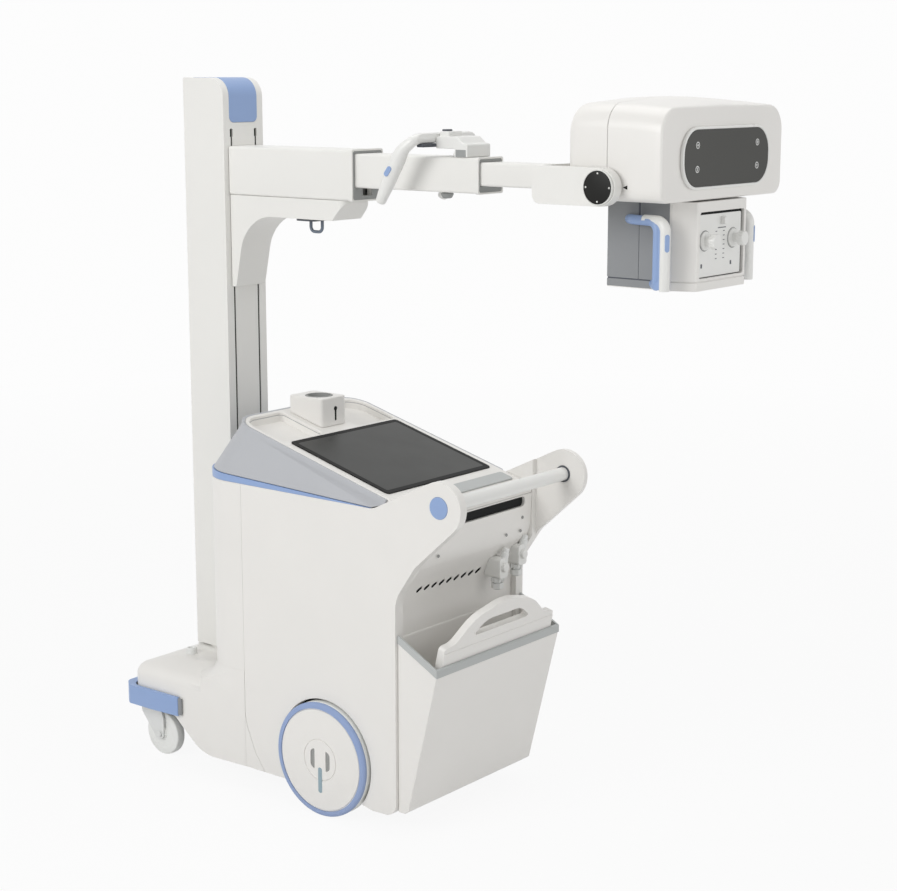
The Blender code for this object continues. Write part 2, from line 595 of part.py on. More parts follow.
def detector(carrier, looks):
    """The flat detector, leaning on the bin's front wall, with an arched grip along its top."""
    base = carrier["place"]
    top = PLATE_HEIGHT
    shape = rounded([(-PLATE_HALF, 0, 0.006), (PLATE_HALF, 0, 0.006), (PLATE_HALF, top, 0.010), (0.190, top + 0.004, 0.020),
                     (0.115, top + GRIP_RISE, 0.060), (-0.115, top + GRIP_RISE, 0.060), (-0.190, top + 0.004, 0.020),
                     (-PLATE_HALF, top, 0.010)])
    slot = rounded([(-0.100, top + 0.004, 0.008), (0.100, top + 0.004, 0.008), (0.080, top + 0.026, 0.010),
                    (-0.080, top + 0.026, 0.010)], 4)
    data_plate = plate("flat_detector", carrier, shape, "Y", -PLATE_THICK / 2, PLATE_THICK / 2, looks["shell"],
                       place=base, tilt=LEAN, holes=(slot,))
    soften(data_plate, 0.002, 1)


def wall_sockets(frame, looks):
    """Two plug housings on the operator's wall."""
    def make(side, x):
        shell = box_outline(x - 0.017, x + 0.017, 0.592, 0.655, 0.008)
        made = plate("wall_socket_" + side, frame, shell, "Y", 0, 0.062, looks["shell"], place=(0, REAR_WALL_Y, 0))
        stub = turned("socket_stub_" + side, frame, (x, REAR_WALL_Y - 0.044, 0.594), "Z",
                      [(0, 0), (0.010, 0), (0.008, -0.026), (0, -0.026)], steps=16)
        merge(made, stub, "UNION")
        keep_off = plate("socket_seat_" + side, frame,
                         [(-0.15, 0.0), (REAR_WALL_Y - SEAT, 0.0), (REAR_WALL_Y - SEAT, 0.580), (-0.232 - SEAT, 0.620), (-0.281 - SEAT, 0.700),
                          (-0.288 - SEAT, 0.730), (-0.15, 0.730)], "X", -0.3, 0.3)
        merge(made, keep_off)
    make("inner", 0.105)
    make("outer", 0.195)


def inside_masses(frame, looks):
    floor = FLOOR_Z + FLOOR_THICK + SEAT
    plate("power_block", frame, box_outline(-0.060, 0.330, floor, floor + 0.240, 0.010), "X", -0.170, 0.170, looks["steel"])
    gearbox_face = BODY_HALF - PANEL_THICK - 0.006

    def drive(side, sign):
        made = turned("drive_unit_" + side, frame, (0, 0, WHEEL_RADIUS), "X",
                      [(0, gearbox_face), (0.055, gearbox_face), (0.055, 0.176), (0, 0.176)]
                      if sign > 0 else [(0, -0.176), (0.055, -0.176), (0.055, -gearbox_face), (0, -gearbox_face)],
                      looks["steel"], 20)
        low, high = sorted((sign * (gearbox_face - 0.01), sign * (WHEEL_FACE_X - 0.012)))
        merge(made, plate("axle_" + side, frame, circle((0, WHEEL_RADIUS), AXLE_RADIUS, 16), "X", low, high), "UNION")
        foot = plate("drive_foot_" + side, frame, box_outline(-0.040, 0.040, floor, WHEEL_RADIUS - 0.02), "X",
                     *sorted((sign * 0.178, sign * (gearbox_face - 0.004))))
        merge(made, foot, "UNION")
        return made
    pair(drive)


def column_bearing(frame, looks):
    low = NOSE_DECK_Z + NOSE_DECK_THICK + SEAT
    high = MAST_FOOT_Z - SEAT
    turned("column_bearing", frame, (0, COLUMN_Y, 0), "Z",
           [(0, high), (0.078, high), (0.082, high - 0.006), (BEARING_RADIUS, high - 0.008), (BEARING_RADIUS, low), (0, low)],
           looks["shell"], 40)


def wheel(carrier, side, sign, looks):
    half = WHEEL_WIDTH / 2
    rim = WHEEL_RADIUS - TYRE_DEPTH
    turned("rear_tyre_" + side, carrier, carrier["place"], "X",
           [(WHEEL_RADIUS, half - 0.006), (WHEEL_RADIUS, -half + 0.006), (WHEEL_RADIUS - 0.005, -half), (rim, -half),
            (rim, half), (WHEEL_RADIUS - 0.005, half)], looks["blue"], 40, ring=True)
    face, back = half - 0.002, -half + 0.002
    dish = [(0, face), (0.117, face - 0.002), (0.124, face), (rim - SEAT, face), (rim - SEAT, back),
            (0.110, back), (0.104, back + 0.012), (0.036, back + 0.012), (0.036, back), (0, back)]
    if sign < 0:
        dish = [(r, -h) for r, h in dish][::-1]
    hub = turned("rear_hub_" + side, carrier, carrier["place"], "X", dish, looks["shell"], 40)
    low, high = sorted((sign * (WHEEL_FACE_X - WHEEL_WIDTH - 0.01), sign * (WHEEL_FACE_X - 0.012 + PIN_PLAY)))
    merge(hub, plate("hub_bore_" + side, carrier, circle((0, WHEEL_RADIUS), AXLE_RADIUS + PIN_PLAY, 16), "X", low, high))


def castor(fork_body, wheel_body, side, sign, looks):
    axle_y = SWIVEL_Y - CASTOR_TRAIL
    half = CASTOR_WIDTH / 2
    leg_in, leg_out = half + 0.004, half + 0.009
    x = sign * CASTOR_X
    crown_low = CASTOR_RADIUS * 2 + 0.004
    side_shape = rounded([(axle_y - 0.014, CASTOR_RADIUS - 0.014, 0.013), (axle_y + 0.014, CASTOR_RADIUS - 0.014, 0.013),
                          (SWIVEL_Y + 0.036, crown_low - 0.012, 0.010), (SWIVEL_Y + 0.036, FORK_TOP_Z, 0.004),
                          (SWIVEL_Y - 0.040, FORK_TOP_Z, 0.004), (SWIVEL_Y - 0.050, crown_low - 0.020, 0.020)], 4)
    fork = plate("castor_fork_" + side, fork_body, side_shape, "X", x - leg_out, x + leg_out, looks["grey"])
    gap = [(axle_y - 0.08, 0), (SWIVEL_Y + 0.06, 0), (SWIVEL_Y + 0.06, crown_low), (axle_y - 0.08, crown_low)]
    merge(fork, plate("castor_gap_" + side, fork_body, gap, "X", x - leg_in, x + leg_in))
    merge(fork, plate("castor_pin_" + side, fork_body, circle((axle_y, CASTOR_RADIUS), CASTOR_PIN_RADIUS, 16), "X",
                      x - leg_out - 0.003, x + leg_out + 0.003), "UNION")
    merge(fork, plate("castor_stem_" + side, fork_body, circle((x, SWIVEL_Y), SWIVEL_PIN_RADIUS, 16), "Z",
                      FORK_TOP_Z - 0.005, NOSE_DECK_Z + NOSE_DECK_THICK - 0.005), "UNION")
    r, bore = CASTOR_RADIUS, CASTOR_PIN_RADIUS + PIN_PLAY
    edge = [(bore, half + 0.003), (0.018, half + 0.003), (0.022, half - 0.003), (0.044, half), (r - 0.006, half), (r, half - 0.007)]
    profile = edge + [(radius, -height) for radius, height in edge[::-1]]
    turned("castor_wheel_" + side, wheel_body, (x, axle_y, CASTOR_RADIUS), "X", profile, looks["wheel"], 24, ring=True)


def mast(column, looks):
    rear, front = COLUMN_Y - MAST_DEPTH / 2, COLUMN_Y + MAST_DEPTH / 2
    outline = rounded([(rear, MAST_FOOT_Z, 0), (front, MAST_FOOT_Z, 0), (front, MAST_TOP_Z, 0.006), (rear, MAST_TOP_Z, MAST_ROUND)], 8)
    post = plate("mast", column, outline, "X", -MAST_HALF, MAST_HALF, looks["shell"])
    soften(post, 0.005, 1, 60)
    wall = MAST_WALL
    inside = rounded([(rear + wall, MAST_FOOT_Z - 0.01, 0), (front - wall, MAST_FOOT_Z - 0.01, 0), (front - wall, MAST_TOP_Z - wall, 0),
                      (rear + wall + 0.012, MAST_TOP_Z - wall, MAST_ROUND - wall), (rear + wall + 0.012, SLOT_TOP_Z + 0.01, 0),
                      (rear + wall, SLOT_TOP_Z + 0.01, 0)], 8)
    merge(post, plate("mast_inside", column, inside, "X", -MAST_HALF + wall, MAST_HALF - wall))
    for side, sign in (("left", -1), ("right", 1)):
        merge(post, plate("mast_slot_" + side, column,
                          box_outline(rear - 0.01, rear + wall + 0.001, SLOT_BOTTOM_Z, SLOT_TOP_Z), "X",
                          sign * SLOT_X - SLOT_WIDTH / 2, sign * SLOT_X + SLOT_WIDTH / 2))
    half, depth, low = 0.052, 0.005, 1.738
    shape = rounded([(rear - 0.001, low, 0), (rear - 0.001, MAST_TOP_Z + 0.0005, MAST_ROUND), (COLUMN_Y - 0.008, MAST_TOP_Z + 0.0005, 0),
                     (COLUMN_Y - 0.008, MAST_TOP_Z - depth, 0), (rear + depth, MAST_TOP_Z - depth, MAST_ROUND - depth),
                     (rear + depth, low, 0)], 8)
    seat = rounded([(rear - 0.01, low - SEAT, 0), (rear - 0.01, MAST_TOP_Z + 0.01, 0), (COLUMN_Y - 0.008 + SEAT, MAST_TOP_Z + 0.01, 0),
                    (COLUMN_Y - 0.008 + SEAT, MAST_TOP_Z - depth - SEAT, 0),
                    (rear + depth + SEAT, MAST_TOP_Z - depth - SEAT, MAST_ROUND - depth), (rear + depth + SEAT, low - SEAT, 0)], 8)
    merge(post, plate("mast_cap_seat", column, seat, "X", -half - SEAT, half + SEAT))
    plate("mast_cap", column, shape, "X", -half, half, looks["blue"])


def arm_root(carriage, looks):
    rear = COLUMN_Y - MAST_DEPTH / 2 - 0.0015
    # Gusset and housing under the outer section, as (y, z).
    shape = [(rear, ARM1_BOTTOM_Z - SEAT), (rear, GUSSET_FOOT_Z)]
    shape += [(rear - 0.012, GUSSET_FOOT_Z), (0.484, 1.325), (0.474, 1.370), (0.462, 1.410), (0.445, 1.445), (0.420, 1.475),
              (0.385, 1.490), (0.340, 1.495), (0.300, HOUSING_BOTTOM_Z)]
    shape += [(0.075, HOUSING_BOTTOM_Z), (HOUSING_FRONT_Y + 0.008, HOUSING_BOTTOM_Z + 0.004), (HOUSING_FRONT_Y + 0.060, ARM1_BOTTOM_Z - SEAT)]
    root = plate("arm_root", carriage, shape, "X", -ARM1_HALF, ARM1_HALF, looks["shell"])
    soften(root, 0.003, 1, 50)
    for side, sign in (("left", -1), ("right", 1)):
        low = sign * SLOT_X - SLOT_WIDTH / 2 + GUIDE_PLAY
        high = sign * SLOT_X + SLOT_WIDTH / 2 - GUIDE_PLAY
        merge(root, plate("guide_fin_" + side, carriage, box_outline(rear - 0.02, rear + FIN_REACH, GUSSET_FOOT_Z + 0.02, ARM1_BOTTOM_Z - 0.01),
                          "X", low, high), "UNION")
    width, drop = 0.020, 0.036
    path = [(0, RING_Y + width, HOUSING_BOTTOM_Z + 0.006), (0, RING_Y + width, HOUSING_BOTTOM_Z - drop * 0.45)]
    path += [(0, RING_Y + width * 0.75, HOUSING_BOTTOM_Z - drop), (0, RING_Y - width * 0.75, HOUSING_BOTTOM_Z - drop)]
    path += [(0, RING_Y - width, HOUSING_BOTTOM_Z - drop * 0.45), (0, RING_Y - width, HOUSING_BOTTOM_Z + 0.006)]
    ring = tube("transport_ring", carriage, path, RING_WIRE, looks["dark"], 2)
    low = HOUSING_BOTTOM_Z - 0.0045
    merge(ring, plate("ring_plate", carriage, box_outline(-0.020, 0.020, RING_Y - 0.048, RING_Y + 0.040, 0.004), "Z", low, HOUSING_BOTTOM_Z - SEAT), "UNION")
    trim = plate("ring_trim", carriage, box_outline(-0.05, 0.05, RING_Y - 0.1, RING_Y + 0.1), "Z", HOUSING_BOTTOM_Z - SEAT, HOUSING_BOTTOM_Z + 0.02)
    merge(ring, trim)


def box_tube(name, carrier, half, low, high, wall, front, rear, look):
    """One section of the telescopic arm: a box tube with its mouth at the operator's end."""
    tube_box = plate(name, carrier, box_outline(-half, half, low, high, 0.004), "Y", 0, rear - front - 0.001, look, place=(0, rear, 0))
    hollow = plate(name + "_hollow", carrier, box_outline(-half + wall, half - wall, low + wall, high - wall), "Y", 0,
                   rear - front, place=(0, rear - wall, 0))
    return merge(tube_box, hollow)


def guide_block(target, carrier, name, half, low, high, rear, length):
    """A slide block on the tail of a section, which fills the bore of the section round it."""
    block = plate(name, carrier, box_outline(-half, half, low, high), "Y", -0.001, length, place=(0, rear, 0))
    return merge(target, block, "UNION")


def telescope(carriage, middle, inner, looks):
    shell = looks["shell"]
    root_y = COLUMN_Y - MAST_DEPTH / 2 - 0.0015
    outer = box_tube("outer_arm", carriage, ARM1_HALF, ARM1_BOTTOM_Z, ARM1_TOP_Z, ARM1_WALL, ARM1_END_Y, root_y, shell)
    collar = plate("outer_collar", carriage, box_outline(-ARM1_HALF - 0.002, ARM1_HALF + 0.002, ARM1_BOTTOM_Z - 0.002, ARM1_TOP_Z + 0.002, 0.005),
                   "Y", 0, 0.014, place=(0, ARM1_END_Y + 0.014, 0),
                   holes=(box_outline(-ARM2_HALF - 0.0008, ARM2_HALF + 0.0008, ARM2_BOTTOM_Z - 0.0008, ARM2_TOP_Z + 0.0008),))
    merge(outer, collar, "UNION")
    rear2 = ARM1_END_Y + ARM_OVERLAP
    second = box_tube("middle_arm", middle, ARM2_HALF, ARM2_BOTTOM_Z, ARM2_TOP_Z, ARM2_WALL, ARM2_END_Y, rear2, shell)
    collar2 = plate("middle_collar", middle, box_outline(-ARM2_HALF - 0.0015, ARM2_HALF + 0.0015, ARM2_BOTTOM_Z - 0.0015, ARM2_TOP_Z + 0.0015, 0.004),
                    "Y", 0, 0.010, place=(0, ARM2_END_Y + 0.010, 0),
                    holes=(box_outline(-ARM3_HALF - 0.0008, ARM3_HALF + 0.0008, ARM3_BOTTOM_Z - 0.0008, ARM3_TOP_Z + 0.0008),))
    merge(second, collar2, "UNION")
    guide_block(second, middle, "middle_guide", ARM1_HALF - ARM1_WALL - GUIDE_PLAY, ARM1_BOTTOM_Z + ARM1_WALL + GUIDE_PLAY,
                ARM1_TOP_Z - ARM1_WALL - GUIDE_PLAY, rear2, 0.003)
    rear3 = ARM2_END_Y + ARM_OVERLAP
    third = plate("inner_arm", inner, box_outline(-ARM3_HALF, ARM3_HALF, ARM3_BOTTOM_Z, ARM3_TOP_Z, 0.004), "Y", 0,
                  rear3 - YOKE_REAR_Y - SEAT, shell, place=(0, rear3, 0))
    guide_block(third, inner, "inner_guide", ARM2_HALF - ARM2_WALL - GUIDE_PLAY, ARM2_BOTTOM_Z + ARM2_WALL + GUIDE_PLAY,
                ARM2_TOP_Z - ARM2_WALL - GUIDE_PLAY, rear3, 0.014)
    wall = ARM2_WALL
    merge(third, plate("inner_hollow", inner, box_outline(-ARM3_HALF + wall, ARM3_HALF - wall, ARM3_BOTTOM_Z + wall, ARM3_TOP_Z - wall), "Y", 0,
                       rear3 + 0.01 - YOKE_REAR_Y - wall, place=(0, rear3 + 0.01, 0)))


def arm_grip(middle, looks):
    """The loop that the operator steers the arm by, on a saddle over the middle section."""
    low = ARM2_TOP_Z + SEAT
    saddle_shape = rounded([(SADDLE_BACK_Y, low, 0), (SADDLE_FRONT_Y, low, 0), (SADDLE_FRONT_Y, SADDLE_TOP_Z, 0.006),
                            (SADDLE_BACK_Y + 0.030, SADDLE_TOP_Z, 0.008), (SADDLE_BACK_Y + 0.012, 1.694, 0.006), (SADDLE_BACK_Y, 1.690, 0.006)], 4)
    saddle = plate("grip_saddle", middle, saddle_shape, "X", -0.046, 0.046, looks["shell"])
    soften(saddle, 0.003, 1, 50)
    half = LOOP_HALF
    right = [(half, -0.078, 1.556), (half, -0.092, 1.585), (half, -0.156, 1.672)]
    bar_y, bar_z = SADDLE_FRONT_Y + LOOP_RADIUS * 0.75, SADDLE_TOP_Z - LOOP_RADIUS
    bend = [(half - 0.003, -0.172, bar_z - 0.012), (half - 0.014, -0.188, bar_z - 0.003), (half - 0.035, bar_y, bar_z)]
    side = right + bend
    path = side + [(-x, y, z) for x, y, z in side[::-1]]
    loop = tube("arm_grip", middle, path, LOOP_RADIUS, looks["shell"], 3)
    keep = plate("grip_trim", middle, box_outline(SADDLE_BACK_Y - 0.02, SADDLE_FRONT_Y + SEAT, 1.5, 1.8), "X", -0.2, 0.2)
    merge(loop, keep)
    turned("arm_lock_knob", middle, (0, -0.232, ARM2_BOTTOM_Z - SEAT), "Z",
           [(0, 0), (0.007, 0), (0.007, -0.004), (0.016, -0.005), (0.016, -0.011), (0.011, -0.017), (0, -0.019)], looks["shell"], 20)


def yoke(roll, looks):
    inner = HEAD_HALF + CHEEK_GAP
    outer = inner + CHEEK_THICK
    end = arc((TILT_Y, TILT_Z), (CHEEK_TOP_Z - CHEEK_BOTTOM_Z) / 2, 270, 90, 12)
    shape = rounded([(YOKE_REAR_Y, CHEEK_TOP_Z, 0.008), (YOKE_REAR_Y, CHEEK_BOTTOM_Z, 0.020), (end[0].x, end[0].y, 0)], 4)[:-1] + end
    fork = plate("yoke_fork", roll, shape, "X", -outer, outer, looks["shell"])
    soften(fork, 0.003, 1, 60)
    merge(fork, plate("yoke_space", roll, box_outline(-1.0, YOKE_REAR_Y - CROSS_THICK, 1.5, 1.8), "X", -inner, inner))
    for side, sign in (("left", -1), ("right", 1)):
        low, high = sorted((sign * (HEAD_HALF + SEAT), sign * (inner + 0.002)))
        merge(fork, plate("cheek_boss_" + side, roll, circle((TILT_Y, TILT_Z), 0.024, 20), "X", low, high), "UNION")
        low, high = sorted((sign * (HEAD_HALF - 0.01), sign * (inner + 0.020)))
        merge(fork, plate("trunnion_bore_" + side, roll, circle((TILT_Y, TILT_Z), TRUNNION_RADIUS + PIN_PLAY, 16), "X", low, high))
        low, high = sorted((sign * (outer + SEAT), sign * (outer + 0.006)))
        plate("angle_dial_" + side, roll, circle((TILT_Y, TILT_Z), DIAL_RADIUS, 32), "X", low, high, looks["dark"])


def head_section(y, inset, lift=0.0):
    half = HEAD_HALF - inset
    shape = rounded([(-half, HEAD_BOTTOM_Z + inset, HEAD_CORNER_BOTTOM - inset * 0.3), (half, HEAD_BOTTOM_Z + inset, HEAD_CORNER_BOTTOM - inset * 0.3),
                     (half, HEAD_TOP_Z - inset - lift, HEAD_CORNER_TOP), (-half, HEAD_TOP_Z - inset - lift, HEAD_CORNER_TOP)])
    return [(p.x, y, p.y) for p in shape]


def tube_head(tilt, looks):
    rear = loft("head_rear_shell", tilt, [
        head_section(HEAD_SEAM_Y + 0.0008, 0.0), head_section(HEAD_REAR_Y - 0.034, 0.0), head_section(HEAD_REAR_Y - 0.017, 0.003, 0.003),
        head_section(HEAD_REAR_Y - 0.005, 0.008, 0.014), head_section(HEAD_REAR_Y, 0.016, 0.024)], looks["shell"])
    front = loft("head_front_shell", tilt, [
        head_section(HEAD_SEAM_Y, 0.0), head_section(HEAD_FRONT_Y + 0.006, 0.0), head_section(HEAD_FRONT_Y + 0.002, 0.002), head_section(HEAD_FRONT_Y, 0.006)],
        looks["shell"])
    for side, sign in (("left", -1), ("right", 1)):
        low, high = sorted((sign * (HEAD_HALF - 0.012), sign * (HEAD_HALF + CHEEK_GAP + 0.018)))
        pin = plate("trunnion_" + side, tilt, circle((TILT_Y, TILT_Z), TRUNNION_RADIUS, 16), "X", low, high)
        merge(front, pin, "UNION")
        slot = plate("trunnion_relief_" + side, tilt, circle((TILT_Y, TILT_Z), TRUNNION_RADIUS + SEAT, 16), "X",
                     *sorted((sign * (HEAD_HALF - 0.0125), sign * (HEAD_HALF + 0.02))))
        merge(rear, slot)
    bezel_shape = box_outline(-BEZEL_HALF, BEZEL_HALF, BEZEL_BOTTOM_Z, BEZEL_TOP_Z, 0.058)
    bezel = plate("display_bezel", tilt, bezel_shape, "Y", SEAT, BEZEL_THICK, looks["shell"], place=(0, HEAD_FRONT_Y, 0))
    soften(bezel, 0.003, 1, 60)
    inset = GLASS_INSET
    merge(bezel, plate("glass_seat", tilt, box_outline(-BEZEL_HALF + inset - SEAT, BEZEL_HALF - inset + SEAT, BEZEL_BOTTOM_Z + inset - SEAT,
                                                      BEZEL_TOP_Z - inset + SEAT, 0.049), "Y", BEZEL_THICK - GLASS_THICK, 0.03, place=(0, HEAD_FRONT_Y, 0)))
    plate("head_display", tilt, box_outline(-BEZEL_HALF + inset, BEZEL_HALF - inset, BEZEL_BOTTOM_Z + inset, BEZEL_TOP_Z - inset, 0.049), "Y",
          BEZEL_THICK - GLASS_THICK + SEAT, BEZEL_THICK - 0.0005, looks["glass"], place=(0, HEAD_FRONT_Y, 0))
    turned("tube_port", tilt, (0, COLL_Y, 0), "Z",
           [(0, HEAD_BOTTOM_Z - SEAT), (NECK_RADIUS + 0.012, HEAD_BOTTOM_Z - SEAT), (NECK_RADIUS + 0.012, HEAD_BOTTOM_Z - 0.006),
            (NECK_RADIUS, HEAD_BOTTOM_Z - 0.010), (NECK_RADIUS, COLL_TOP_Z + SEAT), (0, COLL_TOP_Z + SEAT)], looks["dark"], 32)


def collimator(turn, looks):
    plan = [(-COLL_HALF_REAR, COLL_REAR_Y, 0.006), (COLL_HALF_REAR, COLL_REAR_Y, 0.006), (COLL_HALF_REAR, COLL_CHAMFER_Y, 0.010),
            (COLL_HALF_FRONT, COLL_FRONT_Y, 0.005), (-COLL_HALF_FRONT, COLL_FRONT_Y, 0.005), (-COLL_HALF_REAR, COLL_CHAMFER_Y, 0.010)]
    box = plate("collimator_body", turn, rounded(plan, 4), "Z", COLL_BOTTOM_Z, COLL_TOP_Z, looks["shell"])
    soften(box, 0.003, 1, 60)
    groove = plate("base_groove", turn, rounded([(x * 1.2, y + (y - COLL_Y) * 0.2, 0) for x, y, r in plan], 4), "Z", COLL_BOTTOM_Z + 0.019, COLL_BOTTOM_Z + 0.021,
                   holes=(rounded([(x * 0.985, COLL_Y + (y - COLL_Y) * 0.985, r) for x, y, r in plan], 4),))
    merge(box, groove)
    panel = plate("collimator_panel", turn, box_outline(-COLL_PANEL_HALF, COLL_PANEL_HALF, COLL_PANEL_BOTTOM_Z, COLL_PANEL_TOP_Z, 0.006), "Y",
                  SEAT, COLL_PANEL_THICK, looks["grey"], place=(0, COLL_FRONT_Y, 0))
    face = COLL_FRONT_Y - COLL_PANEL_THICK - SEAT

    def knob(side, sign):
        length, r = KNOB_LENGTH, KNOB_RADIUS
        return turned("collimator_knob_" + side, turn, (sign * KNOB_X, face, KNOB_Z), "Y",
                      [(0, 0), (r * 0.72, 0), (r * 0.72, -length * 0.45), (r, -length * 0.5), (r, -length * 0.9), (r * 0.85, -length), (0, -length)],
                      looks["shell"], 20)
    pair(knob)

    def grip(side, sign):
        wall, out = sign * (COLL_HALF_REAR - 0.004), sign * SIDE_GRIP_X
        path = [(wall, -0.828, 1.552), (sign * (COLL_HALF_REAR + 0.022), -0.846, 1.553), (out - sign * 0.006, -0.900, 1.554),
                (out, -0.924, 1.551), (out, SIDE_GRIP_Y, 1.538), (out, SIDE_GRIP_Y, 1.432), (out, -0.926, 1.419),
                (out - sign * 0.010, -0.908, 1.414), (wall, -0.880, 1.414)]
        made = tube("collimator_grip_" + side, turn, path, SIDE_GRIP_RADIUS, looks["blue"], 3)
        limit = COLL_HALF_REAR + SEAT
        return merge(made, plate("grip_seat_" + side, turn, box_outline(-0.93, -0.78, 1.3, 1.6), "X", -limit, limit))
    pair(grip)


def build():
    fresh_scene()
    looks = {
        "shell": material("warm_white_paint", (0.80, 0.79, 0.76), 0.42),
        "grey": material("light_grey_plastic", (0.48, 0.49, 0.51), 0.50),
        "blue": material("soft_blue_plastic", (0.27, 0.38, 0.62), 0.45),
        "glass": material("dark_display", (0.05, 0.05, 0.05), 0.15),
        "dark": material("dark_slate", (0.06, 0.07, 0.08), 0.45),
        "rubber": material("grey_rubber", (0.30, 0.30, 0.31), 0.75),
        "wheel": material("pale_tread", (0.62, 0.62, 0.60), 0.60),
        "steel": material("painted_steel", (0.25, 0.26, 0.28), 0.40, 0.6),
    }
    frame = body("power_unit", None, (0, 0, 0))
    column = body("column", frame, (0, COLUMN_Y, MAST_FOOT_Z))
    carriage = body("carriage", column, (0, COLUMN_Y - MAST_DEPTH / 2, (ARM1_BOTTOM_Z + ARM1_TOP_Z) / 2))
    middle = body("middle_section", carriage, (0, ARM1_END_Y, (ARM2_BOTTOM_Z + ARM2_TOP_Z) / 2))
    inner = body("inner_section", middle, (0, ARM2_END_Y, TILT_Z))
    roll = body("yoke", inner, (0, YOKE_REAR_Y, TILT_Z))
    tilt = body("tube_assembly", roll, (0, TILT_Y, TILT_Z))
    turn = body("collimator", tilt, (0, COLL_Y, COLL_TOP_Z))
    lift = body("detector", frame, (0, DETECTOR_Y, DETECTOR_Z))
    chassis_tray(frame, looks)
    nose_cover(frame, looks)
    front_shroud(frame, looks)
    side_panels(frame, looks)
    operator_wall(frame, looks)
    console(frame, looks)
    push_bar(frame, looks)
    bumper(frame, looks)
    detector_bin(frame, looks)
    wall_sockets(frame, looks)
    inside_masses(frame, looks)
    column_bearing(frame, looks)
    detector(lift, looks)
    for side, sign in (("left", -1), ("right", 1)):
        hub = body("rear_wheel_" + side, frame, (sign * (WHEEL_FACE_X - WHEEL_WIDTH / 2), 0, WHEEL_RADIUS))
        wheel(hub, side, sign, looks)
        fork = body("castor_" + side, frame, (sign * CASTOR_X, SWIVEL_Y, FORK_TOP_Z))
        disc = body("castor_roll_" + side, fork, (sign * CASTOR_X, SWIVEL_Y - CASTOR_TRAIL, CASTOR_RADIUS))
        castor(fork, disc, side, sign, looks)
    mast(column, looks)
    arm_root(carriage, looks)
    telescope(carriage, middle, inner, looks)
    arm_grip(middle, looks)
    yoke(roll, looks)
    tube_head(tilt, looks)
    collimator(turn, looks)


build()
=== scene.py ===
import math

import bpy
import bmesh
from mathutils import Matrix, Quaternion, Vector


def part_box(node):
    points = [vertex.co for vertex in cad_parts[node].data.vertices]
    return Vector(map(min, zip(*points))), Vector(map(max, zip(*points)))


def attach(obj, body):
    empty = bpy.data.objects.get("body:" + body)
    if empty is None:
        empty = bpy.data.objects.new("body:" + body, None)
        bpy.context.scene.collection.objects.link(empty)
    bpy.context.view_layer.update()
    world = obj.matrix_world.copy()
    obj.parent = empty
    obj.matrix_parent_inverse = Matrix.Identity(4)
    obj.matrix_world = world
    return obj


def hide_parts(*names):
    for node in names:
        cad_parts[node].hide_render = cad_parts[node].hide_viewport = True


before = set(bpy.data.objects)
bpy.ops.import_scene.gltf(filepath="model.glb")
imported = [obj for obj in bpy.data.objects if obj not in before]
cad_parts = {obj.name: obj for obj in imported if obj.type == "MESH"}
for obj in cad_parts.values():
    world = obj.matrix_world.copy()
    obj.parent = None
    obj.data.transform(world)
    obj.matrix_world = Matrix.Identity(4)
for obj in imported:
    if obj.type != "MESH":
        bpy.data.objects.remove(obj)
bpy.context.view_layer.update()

tyreLow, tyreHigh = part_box("rear_tyre_left")
axleY = (tyreLow.y + tyreHigh.y) / 2      # every y below is measured from the rear axle
hairline = 0.0003                         # gap between pieces that rest on each other
spare = 0.01                              # how far a cutting tool runs past the face it opens
trayRoom = 0.231                          # half of the room that the chassis tray takes
columnY = 0.581                           # the line that the mast turns about
print("frame loaded, rear axle at y =", round(axleY, 4))


# Surface effects that several finishes share

def newGroup(name, inputs, outputs):
    group = bpy.data.node_groups.new(name, "ShaderNodeTree")
    for label, kind, start in inputs:
        socket = group.interface.new_socket(name=label, in_out="INPUT", socket_type=kind)
        if start is not None:
            socket.default_value = start
    for label, kind in outputs:
        group.interface.new_socket(name=label, in_out="OUTPUT", socket_type=kind)
    return group, group.nodes.new("NodeGroupInput"), group.nodes.new("NodeGroupOutput")


def noiseNode(tree, place, scale, detail=2.0):
    noise = tree.nodes.new("ShaderNodeTexNoise")
    noise.inputs["Detail"].default_value = detail
    tree.links.new(place, noise.inputs["Vector"])
    if isinstance(scale, float):
        noise.inputs["Scale"].default_value = scale
    else:
        tree.links.new(scale, noise.inputs["Scale"])
    return noise.outputs["Fac"]


def mathNode(tree, operation, first, second):
    node = tree.nodes.new("ShaderNodeMath")
    node.operation = operation
    for socket, value in zip(node.inputs, (first, second)):
        if isinstance(value, (int, float)):
            socket.default_value = value
        else:
            tree.links.new(value, socket)
    return node.outputs[0]


def rangeNode(tree, value, low, high, toLow, toHigh):
    node = tree.nodes.new("ShaderNodeMapRange")
    tree.links.new(value, node.inputs["Value"])
    for label, bound in (("From Min", low), ("From Max", high), ("To Min", toLow), ("To Max", toHigh)):
        if isinstance(bound, (int, float)):
            node.inputs[label].default_value = bound
        else:
            tree.links.new(bound, node.inputs[label])
    return node.outputs["Result"]


